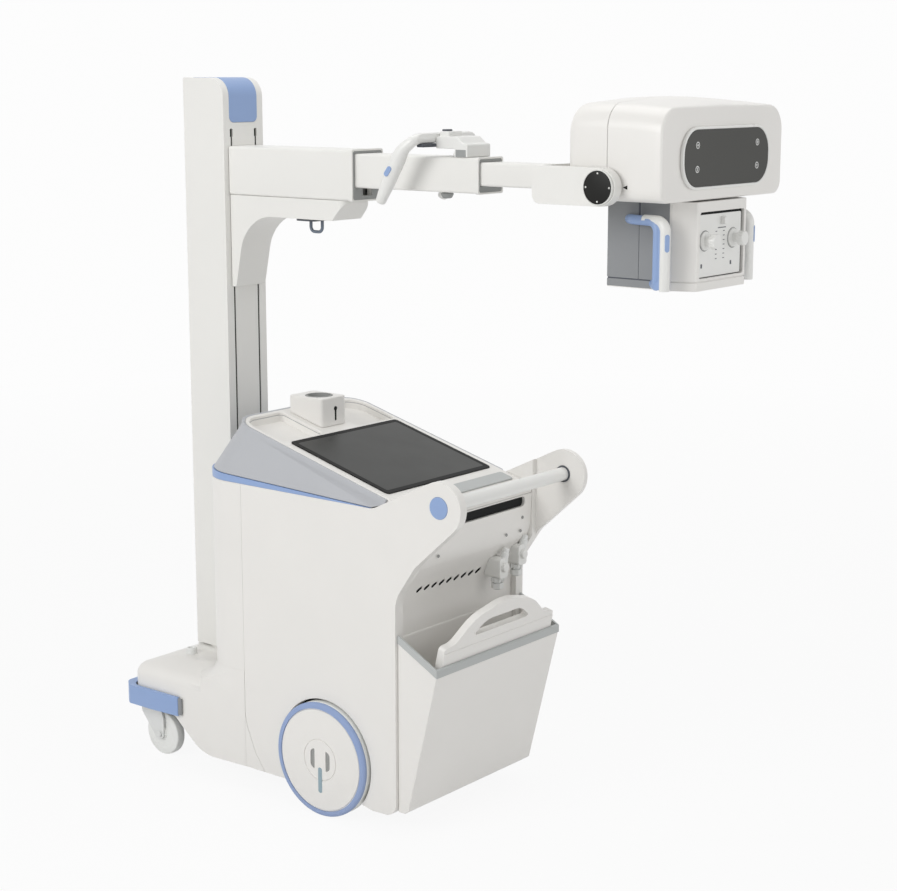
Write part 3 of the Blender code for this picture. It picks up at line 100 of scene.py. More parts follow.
# Slow drift of tone, uneven gloss and a fine moulded grain.
def makeMouldedGroup():
    group, ins, outs = newGroup("mouldedSurface", [
        ("Place", "NodeSocketVector", None), ("Paint", "NodeSocketColor", (0.8, 0.8, 0.8, 1.0)),
        ("Drift Scale", "NodeSocketFloat", 5.0), ("Drift", "NodeSocketFloat", 0.02),
        ("Gloss Loss", "NodeSocketFloat", 0.4), ("Gloss Spread", "NodeSocketFloat", 0.06),
        ("Grain Scale", "NodeSocketFloat", 900.0)],
        [("Color", "NodeSocketColor"), ("Roughness", "NodeSocketFloat"), ("Height", "NodeSocketFloat")])
    place = ins.outputs["Place"]
    cloud = noiseNode(group, place, ins.outputs["Drift Scale"], 3.0)
    darker = mathNode(group, "SUBTRACT", 1.0, ins.outputs["Drift"])
    tone = rangeNode(group, cloud, 0.3, 0.7, darker, 1.0)
    mix = group.nodes.new("ShaderNodeMix")
    mix.data_type, mix.blend_type = "RGBA", "MULTIPLY"
    mix.inputs["Factor"].default_value = 1.0
    group.links.new(ins.outputs["Paint"], mix.inputs["A"])
    group.links.new(tone, mix.inputs["B"])
    group.links.new(mix.outputs["Result"], outs.inputs["Color"])
    smear = noiseNode(group, place, 11.0, 4.0)
    spread = mathNode(group, "MULTIPLY", mathNode(group, "SUBTRACT", smear, 0.5), ins.outputs["Gloss Spread"])
    group.links.new(mathNode(group, "ADD", ins.outputs["Gloss Loss"],
                             mathNode(group, "MULTIPLY", spread, 2.0)), outs.inputs["Roughness"])
    group.links.new(noiseNode(group, place, ins.outputs["Grain Scale"], 2.0), outs.inputs["Height"])
    return group


# A little floor dust that thins out with height.
def makeDustGroup():
    group, ins, outs = newGroup("floorDust", [("Place", "NodeSocketVector", None),
                                              ("Clean Height", "NodeSocketFloat", 0.2),
                                              ("Amount", "NodeSocketFloat", 0.2)],
                                [("Mask", "NodeSocketFloat")])
    split = group.nodes.new("ShaderNodeSeparateXYZ")
    group.links.new(ins.outputs["Place"], split.inputs[0])
    low = rangeNode(group, split.outputs["Z"], 0.0, ins.outputs["Clean Height"], 1.0, 0.0)
    patches = rangeNode(group, noiseNode(group, ins.outputs["Place"], 24.0, 4.0), 0.35, 0.7, 0.3, 1.0)
    amount = mathNode(group, "MULTIPLY", mathNode(group, "MULTIPLY", low, patches), ins.outputs["Amount"])
    group.links.new(amount, outs.inputs["Mask"])
    return group


mouldedGroup = makeMouldedGroup()
dustGroup = makeDustGroup()


def linear(level):
    level /= 255
    return level / 12.92 if level <= 0.04045 else ((level + 0.055) / 1.055) ** 2.4


def colour(red, green, blue):
    return (linear(red), linear(green), linear(blue), 1.0)


# Paint is red, green and blue as on a screen, bump is in millimetres,
# dust is the share of colour lost at the floor, and finishBase holds what most finishes share.
dustPaint = (176, 172, 164)
finishBase = {"grain": 900.0, "dust": 0.0, "coat": 0.0, "specular": 0.5}
finishValues = {
    "bodyPaint": {"paint": (237, 235, 231), "gloss": 0.34, "drift": 0.018, "grain": 1400.0, "bump": 0.010,
                  "dust": 0.05, "coat": 0.12},
    "metalPaint": {"paint": (237, 236, 232), "gloss": 0.38, "drift": 0.015, "grain": 420.0, "bump": 0.020,
                   "coat": 0.10},
    "gripPaint": {"paint": (236, 236, 233), "gloss": 0.30, "drift": 0.015, "bump": 0.006, "coat": 0.15},
    "greyPlastic": {"paint": (186, 188, 192), "gloss": 0.48, "drift": 0.030, "grain": 1100.0, "bump": 0.022},
    "rimPlastic": {"paint": (188, 191, 190), "gloss": 0.46, "drift": 0.030, "grain": 1100.0, "bump": 0.022},
    "sideGrey": {"paint": (141, 143, 145), "gloss": 0.45, "drift": 0.035, "grain": 1100.0, "bump": 0.020},
    "bluePlastic": {"paint": (146, 171, 214), "gloss": 0.40, "drift": 0.030, "grain": 1200.0, "bump": 0.014,
                    "dust": 0.06, "coat": 0.05},
    "blueTread": {"paint": (148, 168, 208), "gloss": 0.62, "drift": 0.050, "grain": 700.0, "bump": 0.040,
                  "dust": 0.16},
    "paleTread": {"paint": (246, 247, 244), "gloss": 0.58, "drift": 0.040, "grain": 700.0, "bump": 0.035,
                  "dust": 0.16},
    "forkPlastic": {"paint": (232, 233, 231), "gloss": 0.45, "drift": 0.030, "grain": 1100.0, "bump": 0.016,
                    "dust": 0.12},
    "barGrey": {"paint": (146, 168, 178), "gloss": 0.42, "drift": 0.03, "bump": 0.01, "dust": 0.05},
    "slate": {"paint": (72, 76, 84), "gloss": 0.42, "drift": 0.05, "bump": 0.02},
    "dialBlack": {"paint": (24, 24, 22), "gloss": 0.40, "drift": 0.05, "grain": 1200.0, "bump": 0.01,
                  "specular": 0.2},
    # This dark finish is painted shade: it is laid in slots, gaps, vents and holes where only shadow falls.
    "paintedShadeBlack": {"paint": (40, 41, 41), "gloss": 0.75, "drift": 0.05, "bump": 0.02, "specular": 0.1},
    "plugGrey": {"paint": (160, 162, 161), "gloss": 0.60, "drift": 0.04, "bump": 0.02, "specular": 0.3},
    "steel": {"paint": (112, 122, 136), "gloss": 0.32, "drift": 0.05, "grain": 600.0, "bump": 0.02},
    "seamGrey": {"paint": (150, 151, 149), "gloss": 0.60, "drift": 0.03, "bump": 0.01},
    "linerGrey": {"paint": (154, 155, 153), "gloss": 0.66, "drift": 0.04, "grain": 800.0, "bump": 0.03},
    "markWhite": {"paint": (226, 226, 222), "gloss": 0.50, "drift": 0.02, "bump": 0.0},
    "iconGrey": {"paint": (228, 229, 227), "gloss": 0.40, "drift": 0.02, "bump": 0.0},
    "frameBlack": {"paint": (34, 34, 34), "gloss": 0.55, "drift": 0.04, "grain": 1500.0, "bump": 0.0,
                   "specular": 0.12},
    "paintedSteel": {"paint": (120, 123, 127), "gloss": 0.40, "drift": 0.05, "grain": 500.0, "bump": 0.03,
                     "dust": 0.15},
    "batteryCase": {"paint": (96, 98, 102), "gloss": 0.55, "drift": 0.05, "bump": 0.03, "dust": 0.1},
}


def makeFinish(name, values):
    values = {**finishBase, **values}
    made = bpy.data.materials.new(name)
    made.use_nodes = True
    tree = made.node_tree
    shader = tree.nodes["Principled BSDF"]
    place = tree.nodes.new("ShaderNodeTexCoord").outputs["Object"]
    moulded = tree.nodes.new("ShaderNodeGroup")
    moulded.node_tree = mouldedGroup
    tree.links.new(place, moulded.inputs["Place"])
    moulded.inputs["Paint"].default_value = colour(*values["paint"])
    moulded.inputs["Drift"].default_value = values["drift"]
    moulded.inputs["Gloss Loss"].default_value = values["gloss"]
    moulded.inputs["Grain Scale"].default_value = values["grain"]
    tint = moulded.outputs["Color"]
    if values["dust"]:
        dust = tree.nodes.new("ShaderNodeGroup")
        dust.node_tree = dustGroup
        dust.inputs["Amount"].default_value = values["dust"]
        tree.links.new(place, dust.inputs["Place"])
        mix = tree.nodes.new("ShaderNodeMix")
        mix.data_type = "RGBA"
        mix.inputs["B"].default_value = colour(*dustPaint)
        tree.links.new(dust.outputs["Mask"], mix.inputs["Factor"])
        tree.links.new(tint, mix.inputs["A"])
        tint = mix.outputs["Result"]
    tree.links.new(tint, shader.inputs["Base Color"])
    tree.links.new(moulded.outputs["Roughness"], shader.inputs["Roughness"])
    shader.inputs["Specular IOR Level"].default_value = values["specular"]
    shader.inputs["Coat Weight"].default_value = values["coat"]
    shader.inputs["Coat Roughness"].default_value = 0.25
    if values["bump"]:
        bump = tree.nodes.new("ShaderNodeBump")
        bump.inputs["Strength"].default_value = 0.6
        bump.inputs["Distance"].default_value = values["bump"] / 1000
        tree.links.new(moulded.outputs["Height"], bump.inputs["Height"])
        tree.links.new(bump.outputs["Normal"], shader.inputs["Normal"])
    return made


finishes = {name: makeFinish(name, values) for name, values in finishValues.items()}


# Dark display glass with a painted reflection: its tone lightens across the pane, standing in for a
# reflection of the room.
def makeGlass(name, paint, lift, fadeFrom, fadeTo, gloss):
    made = bpy.data.materials.new(name)
    made.use_nodes = True
    tree = made.node_tree
    shader = tree.nodes["Principled BSDF"]
    place = tree.nodes.new("ShaderNodeTexCoord").outputs["Object"]
    split = tree.nodes.new("ShaderNodeSeparateXYZ")
    tree.links.new(place, split.inputs[0])
    reflectionFade = rangeNode(tree, split.outputs["X"], fadeFrom, fadeTo, 0.0, 1.0)
    mix = tree.nodes.new("ShaderNodeMix")
    mix.data_type = "RGBA"
    mix.inputs["A"].default_value = colour(*paint)
    mix.inputs["B"].default_value = colour(*(level + lift for level in paint))
    tree.links.new(reflectionFade, mix.inputs["Factor"])
    tree.links.new(mix.outputs["Result"], shader.inputs["Base Color"])
    tree.links.new(rangeNode(tree, noiseNode(tree, place, 9.0, 3.0), 0.3, 0.7, gloss, gloss + 0.06),
                   shader.inputs["Roughness"])
    shader.inputs["Specular IOR Level"].default_value = 0.22
    return made


finishes["screenGlass"] = makeGlass("screenGlass", (46, 47, 45), 6, -0.2, 0.2, 0.30)
finishes["displayGlass"] = makeGlass("displayGlass", (62, 62, 59), 8, 0.18, -0.18, 0.34)
print("finishes made:", len(finishes))


# Modelling helpers: outlines lie in plane X (rows y, z), Y (rows x, z) or Z (rows x, y)

axisOf = {"X": Vector((1, 0, 0)), "Y": Vector((0, 1, 0)), "Z": Vector((0, 0, 1))}


def spot(plane, u, v, depth):
    return Vector({"X": (depth, u, v), "Y": (u, depth, v), "Z": (u, v, depth)}[plane])


# Large corners get more steps than small ones.
def cornerSteps(radius):
    for limit, steps in ((0.004, 3), (0.012, 5), (0.030, 8), (0.080, 12)):
        if radius < limit:
            return steps
    return 18


# A flat face whose corners are rounded by the radius in each row.
def drawOutline(work, corners, plane, depth=0.0, steps=None):
    known = set(work.faces)
    spots = [spot(plane, row[0], row[1], depth) for row in corners]
    verts = [work.verts.new(place) for place in spots]
    work.faces.new(verts)
    for i, radius in enumerate(row[2] for row in corners):
        if radius:
            back, ahead = spots[i - 1] - spots[i], spots[(i + 1) % len(spots)] - spots[i]
            reach = radius / math.tan(back.angle(ahead) / 2)
            bmesh.ops.bevel(work, geom=[verts[i]], offset=reach, offset_type="OFFSET",
                            segments=steps or cornerSteps(radius), profile=0.5, affect="VERTICES",
                            material=-1)
    return [face for face in work.faces if face not in known]


def movedVerts(grown):
    return [item for item in grown["geom"] if isinstance(item, bmesh.types.BMVert)]


def slab(corners, plane, low, high):
    work = bmesh.new()
    grown = bmesh.ops.extrude_face_region(work, geom=drawOutline(work, corners, plane, low))
    bmesh.ops.translate(work, vec=axisOf[plane] * (high - low), verts=movedVerts(grown))
    bmesh.ops.recalc_face_normals(work, faces=work.faces)
    return work


def boxRows(u0, u1, v0, v1, radius=0.0):
    return [(u0, v0, radius), (u1, v0, radius), (u1, v1, radius), (u0, v1, radius)]


# A block with round corners: its outline in the plane, how deep it goes, and the corners' radius.
def block(plane, u0, u1, v0, v1, low, high, radius=0.0):
    return slab(boxRows(u0, u1, v0, v1, radius), plane, low, high)


# A profile of radius, height and corner radius, turned about an axis through centre.
def turned(corners, axis, centre, steps=64):
    work = bmesh.new()
    drawOutline(work, corners, "Y")
    bmesh.ops.delete(work, geom=work.faces[:], context="FACES_ONLY")
    onAxis = [edge for edge in work.edges if all(abs(vert.co.x) < 1e-6 for vert in edge.verts)]
    bmesh.ops.delete(work, geom=onAxis, context="EDGES")
    bmesh.ops.spin(work, geom=work.verts[:] + work.edges[:], cent=(0, 0, 0), axis=(0, 0, 1), dvec=(0, 0, 0),
                   angle=math.tau, steps=steps, use_merge=True)
    bmesh.ops.remove_doubles(work, verts=work.verts[:], dist=1e-5)
    bmesh.ops.recalc_face_normals(work, faces=work.faces)
    tip = {"X": Matrix.Rotation(math.pi / 2, 4, "Y"), "Y": Matrix.Rotation(-math.pi / 2, 4, "X"),
           "Z": Matrix.Identity(4)}[axis]
    work.transform(Matrix.Translation(centre) @ tip)
    return work


def rod(radius, low, high, axis, centre, steps=64):
    return turned([(0, low, 0), (radius, low, 0), (radius, high, 0), (0, high, 0)], axis, centre, steps)


# Closed rings one above the other, joined by faces and capped at both ends.
def stacked(rings):
    work = bmesh.new()
    loops = []
    for corners, place, steps in rings:
        known = set(work.edges)
        faces = drawOutline(work, corners, "Z", steps=steps)
        verts = {vert for face in faces for vert in face.verts}
        for vert in verts:
            vert.co = place(vert.co)
        edges = [edge for edge in work.edges if edge not in known]
        if loops and len(loops) < len(rings) - 1:
            bmesh.ops.delete(work, geom=faces, context="FACES_ONLY")
        loops.append(edges)
    for lower, upper in zip(loops, loops[1:]):
        bmesh.ops.bridge_loops(work, edges=[e for e in lower if e.is_valid]
                               + [e for e in upper if e.is_valid])
    bmesh.ops.recalc_face_normals(work, faces=work.faces)
    return work


# Corner rows of the two tangents that wrap a round boss between two angles.
def aroundBoss(centre, radius, first, last):
    quarter = math.radians(last - first) / 4
    rows = []
    for share in (0.25, 0.75):
        angle = math.radians(first + (last - first) * share)
        reach = radius / math.cos(quarter)
        rows.append((centre[0] + reach * math.cos(angle), centre[1] + reach * math.sin(angle),
                     radius * 0.9995))
    return rows


# Points along a path whose corners are bent to a radius; rows are a point and its bend.
def bendPath(rows):
    points = []
    for i, (place, radius) in enumerate(rows):
        place = Vector(place)
        if not radius:
            points.append(place)
            continue
        back = (Vector(rows[i - 1][0]) - place).normalized()
        ahead = (Vector(rows[i + 1][0]) - place).normalized()
        half = back.angle(ahead) / 2
        centre = place + (back + ahead).normalized() * radius / math.sin(half)
        start = place + back * radius / math.tan(half) - centre
        end = place + ahead * radius / math.tan(half) - centre
        turn = start.angle(end)
        axis = start.cross(end).normalized()
        count = max(3, round(math.degrees(turn) / 7.5))
        points += [centre + Quaternion(axis, turn * k / count) @ start for k in range(count + 1)]
    return points


def tube(points, radius, shares=None):
    data = bpy.data.curves.new("path", "CURVE")
    data.dimensions = "3D"
    data.bevel_depth = radius
    data.bevel_resolution = 5
    data.use_fill_caps = True
    spline = data.splines.new("POLY")
    spline.points.add(len(points) - 1)
    for point, place, share in zip(spline.points, points, shares or [1] * len(points)):
        point.co, point.radius = (*place, 1), share
    holder = bpy.data.objects.new("path", data)
    bpy.context.scene.collection.objects.link(holder)
    mesh = bpy.data.meshes.new_from_object(holder.evaluated_get(bpy.context.evaluated_depsgraph_get()))
    work = bmesh.new()
    work.from_mesh(mesh)
    bpy.data.objects.remove(holder)
    bpy.data.meshes.remove(mesh)
    bmesh.ops.remove_doubles(work, verts=work.verts[:], dist=1e-5)
    bmesh.ops.recalc_face_normals(work, faces=work.faces)
    return work


# Writes a mesh with its points and faces in order of place, so that each run gives the same one.
def writeMesh(work, mesh):
    ordered = sorted(work.verts, key=lambda vert: tuple(round(c, 6) for c in vert.co))
    number = {vert: k for k, vert in enumerate(ordered)}
    rows = []
    for face in work.faces:
        ring = [number[vert] for vert in face.verts]
        first = ring.index(min(ring))
        rows.append(ring[first:] + ring[:first])
    mesh.from_pydata([vert.co[:] for vert in ordered], [], sorted(rows))
    work.free()


def holderFor(work):
    mesh = bpy.data.meshes.new("shape")
    writeMesh(work, mesh)
    holder = bpy.data.objects.new("shape", mesh)
    bpy.context.scene.collection.objects.link(holder)
    return holder


# Cuts tools out of a shape, or joins or keeps only what they share.
def combine(work, tools, how="DIFFERENCE"):
    target = holderFor(work)
    holders = [holderFor(tool) for tool in tools]
    for holder in holders:
        step = target.modifiers.new("tool", "BOOLEAN")
        step.operation, step.solver, step.object = how, "EXACT", holder
    mesh = bpy.data.meshes.new_from_object(target.evaluated_get(bpy.context.evaluated_depsgraph_get()))
    result = bmesh.new()
    result.from_mesh(mesh)
    for holder in (target, *holders):
        bpy.data.objects.remove(holder)
    bpy.data.meshes.remove(mesh)
    bmesh.ops.remove_doubles(result, verts=result.verts[:], dist=1e-6)
    bmesh.ops.dissolve_limit(result, angle_limit=math.radians(0.4), verts=result.verts[:],
                             edges=result.edges[:])
    return result


def joined(*works):
    whole = works[0]
    for extra in works[1:]:
        mesh = bpy.data.meshes.new("extra")
        writeMesh(extra, mesh)
        whole.from_mesh(mesh)
        bpy.data.meshes.remove(mesh)
    return whole


# A copy of a CAD node's mesh, merged and measured from the axle, ready for softer edges.
def copyNode(node):
    work = bmesh.new()
    work.from_mesh(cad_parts[node].data)
    bmesh.ops.remove_doubles(work, verts=work.verts[:], dist=2e-5)
    bmesh.ops.dissolve_limit(work, angle_limit=math.radians(0.5), verts=work.verts[:], edges=work.edges[:])
    bmesh.ops.translate(work, vec=(0, -axleY, 0), verts=work.verts)
    return work


def addPiece(name, work, body, finish, replaces=(), soften=0.0, segments=3, limit=40, smooth=38):
    bmesh.ops.translate(work, vec=(0, axleY, 0), verts=work.verts)
    mesh = bpy.data.meshes.new(name)
    writeMesh(work, mesh)
    mesh.materials.append(finishes[finish])
    mesh.shade_smooth()
    mesh.set_sharp_from_angle(angle=math.radians(smooth))
    piece = bpy.data.objects.new(name, mesh)
    bpy.context.scene.collection.objects.link(piece)
    if soften:
        step = piece.modifiers.new("softEdges", "BEVEL")
        step.width, step.segments, step.limit_method = soften, segments, "ANGLE"
        step.angle_limit = math.radians(limit)
        step.harden_normals = True
    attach(piece, body)
    if replaces:
        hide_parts(*replaces)
    return piece


def bothSides(make):
    for side, sign in (("left", -1), ("right", 1)):
        make(side, sign)


# A value read between the rows of a short table of steps.
def between(table, at):
    for (low, first), (high, last) in zip(table, table[1:]):
        if at <= high:
            return first + (last - first) * max(0.0, at - low) / (high - low)
    return table[-1][1]


def rotation(degrees, axis):
    return Matrix.Rotation(math.radians(degrees), 4, axis)


# Lays a ring flat at one height.
def level(z):
    return lambda at: Vector((at.x, at.y, z))


def span(first, second):
    return min(first, second), max(first, second)


# Column and mast

mastValues = {"half": 0.0735, "rear": 0.506, "front": 0.656, "foot": 0.2897, "top": 1.855,
              "backRound": 0.050, "edge": 0.0045, "slotX": 0.045, "slotWidth": 0.006, "slotFoot": 0.640,
              "slotTop": 1.722, "headFoot": 1.700, "headWidth": 0.0105, "capHalf": 0.052, "capFoot": 1.738,
              "capDepth": 0.005, "capEnd": 0.640, "capCorner": 0.016, "trayTop": 0.164,
              "bearingWide": 0.104, "shoulder": 0.2838, "bearingNeck": 0.070, "bearingTop": 0.2892}


def makeMast(v):
    rear, front, top = v["rear"], v["front"], v["top"]
    post = slab([(rear, v["foot"], 0), (front, v["foot"], 0), (front, top, 0.006),
                 (rear, top, v["backRound"])], "X", -v["half"], v["half"])
    capSide = [(rear - 0.001, v["capFoot"], 0), (rear - 0.001, top + 0.0005, v["backRound"]),
               (v["capEnd"], top + 0.0005, 0), (v["capEnd"], top - v["capDepth"], 0),
               (rear + v["capDepth"], top - v["capDepth"], v["backRound"] - v["capDepth"]),
               (rear + v["capDepth"], v["capFoot"], 0)]
    # The insert's lower corners are round as well.
    front = boxRows(-v["capHalf"], v["capHalf"], v["capFoot"], top + 0.1, v["capCorner"])
    tools = [combine(slab(capSide, "X", -v["capHalf"] - 0.001, v["capHalf"] + 0.001),
                     [slab(front, "Y", 0.4, 0.8)], "INTERSECT")]
    for sign in (-1, 1):
        middle = sign * v["slotX"]
        tools.append(block("Y", middle - v["slotWidth"] / 2, middle + v["slotWidth"] / 2, v["slotFoot"],
                           v["headFoot"] + 0.002, rear - spare, rear + 0.0035))
        tools.append(block("Y", middle - v["headWidth"] / 2, middle + v["headWidth"] / 2, v["headFoot"],
                           v["slotTop"], rear - spare, rear + 0.018, 0.0025))
        # Dark sheets deep in each slot: painted shadow in the slot.
        wideShadow = block("Y", middle - 0.0051, middle + 0.0051, v["headFoot"] + 0.0003,
                           v["slotTop"] - 0.0003, rear + 0.005, rear + 0.0175)
        thinShadow = block("Y", middle - 0.0029, middle + 0.0029, v["slotFoot"] + 0.0003, v["headFoot"],
                           rear + 0.0022, rear + 0.0034)
        addPiece("mastSlotShadow" + str(sign + 1), joined(wideShadow, thinShadow), "column", "paintedShadeBlack")
    addPiece("mastPost", combine(post, tools), "column", "metalPaint", ["mast"], v["edge"],
             3, 60)
    cap = combine(slab(capSide, "X", -v["capHalf"] + 0.0006, v["capHalf"] - 0.0006),
                  [block("Y", -v["capHalf"] + 0.0006, v["capHalf"] - 0.0006, v["capFoot"] + 0.0006,
                         top + 0.1, 0.4, 0.8, v["capCorner"] - 0.0006)], "INTERSECT")
    addPiece("mastCap", cap, "column", "bluePlastic", ["mast_cap"], 0.0012, 2, 55)
    low, high, wide = v["trayTop"] + hairline, v["bearingTop"], v["bearingWide"]
    shoulder, neck = v["shoulder"], v["bearingNeck"]
    bearing = turned([(0, low, 0), (wide, low, 0), (wide, shoulder, 0.0006), (neck, shoulder, 0),
                      (neck, high, 0), (0, high, 0)], "Z", (0, columnY, 0), 72)
    addPiece("columnBearing", bearing, "power_unit", "metalPaint", ["column_bearing"])


makeMast(mastValues)
print("mast made")


# Telescopic arm

armValues = {"outer": {"half": 0.058, "low": 1.550, "high": 1.677, "wall": 0.005, "mouth": 0.067,
                       "tail": 0.5045, "corner": 0.007, "collar": 0.002, "collarLong": 0.014},
             "middle": {"half": 0.0475, "low": 1.583, "high": 1.668, "wall": 0.0045, "mouth": -0.326,
                        "tail": 0.177, "corner": 0.006, "collar": 0.0015, "collarLong": 0.010},
             "inner": {"half": 0.040, "low": 1.6015, "high": 1.6575, "wall": 0.0045, "mouth": -0.6577,
                       "tail": -0.216, "corner": 0.006, "collar": 0, "collarLong": 0}}


def armBox(v, grow, low, high):
    rows = boxRows(-v["half"] - grow, v["half"] + grow, v["low"] - grow, v["high"] + grow, v["corner"])
    return slab(rows, "Y", low, high)


def makeSection(name, body, node, nextOne):
    v = armValues[name]
    section = armBox(v, 0, v["mouth"], v["tail"])
    if nextOne:
        collar = armBox(v, v["collar"], v["mouth"] - 0.0001, v["mouth"] + v["collarLong"])
        bore = armBox(nextOne, 0.0008, v["mouth"] - spare, v["mouth"] + v["collarLong"] + 0.006)
        hollow = armBox(v, -v["wall"], v["mouth"] + v["collarLong"] + 0.004,
                        v["tail"] + (-0.005 if name == "outer" else 0.01))
        recess = armBox(v, v["collar"] - 0.0045, v["mouth"] - spare, v["mouth"] + 0.0035)
        tools = [hollow, bore, recess]
        if name == "outer":
            # The lock knob under the middle section runs in through this pocket.
            pocket = block("Y", -0.018, 0.018, 1.5620, v["low"] + 0.04, v["mouth"] - spare,
                           v["mouth"] + v["collarLong"] + 0.008, 0.002)
            tools.append(pocket)
        section = combine(combine(section, [collar], "UNION"), [tool.copy() for tool in tools])
        plug = combine(armBox(v, v["collar"] - 0.0046, v["mouth"] + 0.0012, v["mouth"] + 0.0034),
                       [armBox(nextOne, 0.0009, v["mouth"] - spare, v["mouth"] + 0.02), *tools[3:]])
        if name == "outer":
            # A wall inside closes the view through the pocket, behind the knob's last place.
            plug = joined(plug, block("Y", -0.0525, 0.0525, v["low"] + 0.0053, nextOne["low"] - 0.0015,
                                      0.0970, 0.0985))
        addPiece(name + "ArmPlug", plug, body, "plugGrey")
    addPiece(name + "ArmTube", section, body, "metalPaint", [node], 0.0006, 2, 50)


makeSection("outer", "carriage", "outer_arm", armValues["middle"])
makeSection("middle", "middle_section", "middle_arm", armValues["inner"])
makeSection("inner", "inner_section", "inner_arm", None)

rootValues = {"half": 0.0555, "rear": 0.5045, "foot": 1.305, "housing": 1.497, "lowFront": 0.140,
              "highFront": 0.097, "top": 1.5497, "ringY": 0.245, "ringWire": 0.0042, "ringHalf": 0.020,
              "ringDrop": 0.036}


def makeRoot(v):
    shape = [(v["rear"], v["top"], 0), (v["rear"], v["foot"], 0.002), (v["rear"] - 0.015, v["foot"], 0.004),
             (0.449, v["housing"], 0.112), (v["lowFront"], v["housing"], 0.006),
             (v["highFront"], v["top"], 0)]
    plan = [(-v["half"], 0.6, 0), (-v["half"], v["highFront"] + 0.006, 0.022),
            (v["half"], v["highFront"] + 0.006, 0.022), (v["half"], 0.6, 0)]
    root = combine(slab(shape, "X", -v["half"] - spare, v["half"] + spare), [slab(plan, "Z", 1.2, 1.7)],
                   "INTERSECT")
    addPiece("armRoot", root, "carriage", "metalPaint", ["arm_root"], 0.005, 4, 50)
    middle, low = v["ringY"], v["housing"] - v["ringDrop"]
    loop = tube(bendPath([((0, middle + v["ringHalf"], v["housing"] + 0.004), 0),
                          ((0, middle + v["ringHalf"], low), 0.013),
                          ((0, middle - v["ringHalf"], low), 0.013),
                          ((0, middle - v["ringHalf"], v["housing"] + 0.004), 0)]), v["ringWire"])
    loop = combine(loop, [block("Z", -0.05, 0.05, 0.1, 0.4, v["housing"] - hairline, v["housing"] + 0.03)])
    addPiece("transportRing", loop, "carriage", "steel", ["transport_ring"], 0.0008, 2, 60)
    plate = block("Z", -0.050, 0.050, middle - 0.036, middle + 0.030, v["housing"] - 0.0055,
                  v["housing"] - hairline, 0.010)
    addPiece("ringPlate", plate, "carriage", "slate", soften=0.0010, segments=2)


makeRoot(rootValues)

gripValues = {"half": 0.120, "barY": -0.184, "barZ": 1.713, "tip": (-0.078, 1.556), "knee": (-0.150, 1.686),
              "thickness": [(1.556, 0.0125), (1.600, 0.0170), (1.668, 0.0185), (1.700, 0.0140),
                            (1.715, 0.0125)], "saddleHalf": 0.046, "saddleFront": -0.192,
              "saddleBack": -0.290, "saddleTop": 1.717, "saddleLow": 1.6683, "leverHalf": 0.098}


def makeArmGrip(v):
    half, (tipY, tipZ), (kneeY, kneeZ) = v["half"], v["tip"], v["knee"]
    rows = [((half, tipY, tipZ), 0), ((half, -0.094, 1.586), 0.05), ((half, kneeY, kneeZ), 0.055),
            ((half - 0.008, v["barY"], v["barZ"]), 0.024)]
    rows += [((-place[0], place[1], place[2]), bend) for place, bend in rows[::-1]]
    points = []
    bends = bendPath(rows)
    for first, last in zip(bends, bends[1:]):
        pieces = max(1, round((last - first).length / 0.012))
        points += [first.lerp(last, k / pieces) for k in range(pieces)]
    points.append(bends[-1])
    trim = block("X", v["saddleFront"] + hairline, v["saddleBack"] - 0.02, 1.5, 1.8, -0.2, 0.2)
    loop = combine(tube(points, 0.01, shares=[between(v["thickness"], place.z) / 0.01 for place in points]),
                   [trim])
    addPiece("armGripLoop", loop, "middle_section", "gripPaint", ["arm_grip"], 0.005, 4, 60)
    front, back, top, low = v["saddleFront"], v["saddleBack"], v["saddleTop"], v["saddleLow"]
    # The saddle hangs over the arm at its front and stands on it at its back.
    saddle = slab([(front, 1.688, 0.004), (front, top, 0.010), (-0.258, top, 0.012), (-0.276, 1.702, 0.010),
                   (back, 1.699, 0.005), (back, low, 0), (-0.250, low, 0), (-0.250, 1.688, 0.003)], "X",
                  -v["saddleHalf"], v["saddleHalf"])
    addPiece("gripSaddle", saddle, "middle_section", "gripPaint", ["grip_saddle"], 0.0035, 3, 50)
    keyBlock = block("Z", -0.036, 0.018, -0.226, front - 0.003, top - 0.003, top + 0.012, 0.005)
    addPiece("saddleBlock", keyBlock, "middle_section", "gripPaint", soften=0.003, segments=3)
    # The foot is painted grey: painted shade along the bottom of the saddle's back.
    foot = block("Z", -0.0463, 0.0463, -0.286, -0.254, low + 0.001, 1.6865)
    addPiece("saddleFoot", foot, "middle_section", "plugGrey", soften=0.001, segments=2)
    # The thumb keys: a blue one on each leg, a dark one on the block, and the dark lever under the bar.
    for side, sign in (("Left", -1), ("Right", 1)):
        key = block("X", -0.0065, 0.0065, -0.014, 0.014, *span(-sign * 0.004, sign * 0.0016), 0.0064)
        key.transform(Matrix.Translation((sign * (half + 0.0180), -0.118, 1.634)) @ rotation(38, "X"))
        addPiece("gripKey" + side, key, "middle_section", "bluePlastic", soften=0.0008,
                 segments=2)
    addPiece("saddleKey", block("Z", -0.032, -0.010, -0.218, -0.200, top + 0.0115, top + 0.0165, 0.004),
             "middle_section", "slate", soften=0.0015, segments=2)
    levers = [block("Y", *span(sign * (v["saddleHalf"] + 0.0003), sign * v["leverHalf"]), 1.6915, 1.7005,
                    -0.1960, -0.176, 0.003) for sign in (-1, 1)]
    addPiece("gripLever", joined(*levers), "middle_section", "slate", soften=0.0012,
             segments=2)
    knob = turned([(0, 1.5827, 0), (0.008, 1.5827, 0), (0.008, 1.580, 0), (0.0155, 1.579, 0.002),
                   (0.0155, 1.5745, 0.003), (0.011, 1.566, 0.005), (0, 1.565, 0)], "Z", (0, -0.192, 0), 40)
    addPiece("armLockKnob", knob, "middle_section", "plugGrey", ["arm_lock_knob"])


makeArmGrip(gripValues)
print("arm made")


# Yoke and tube head

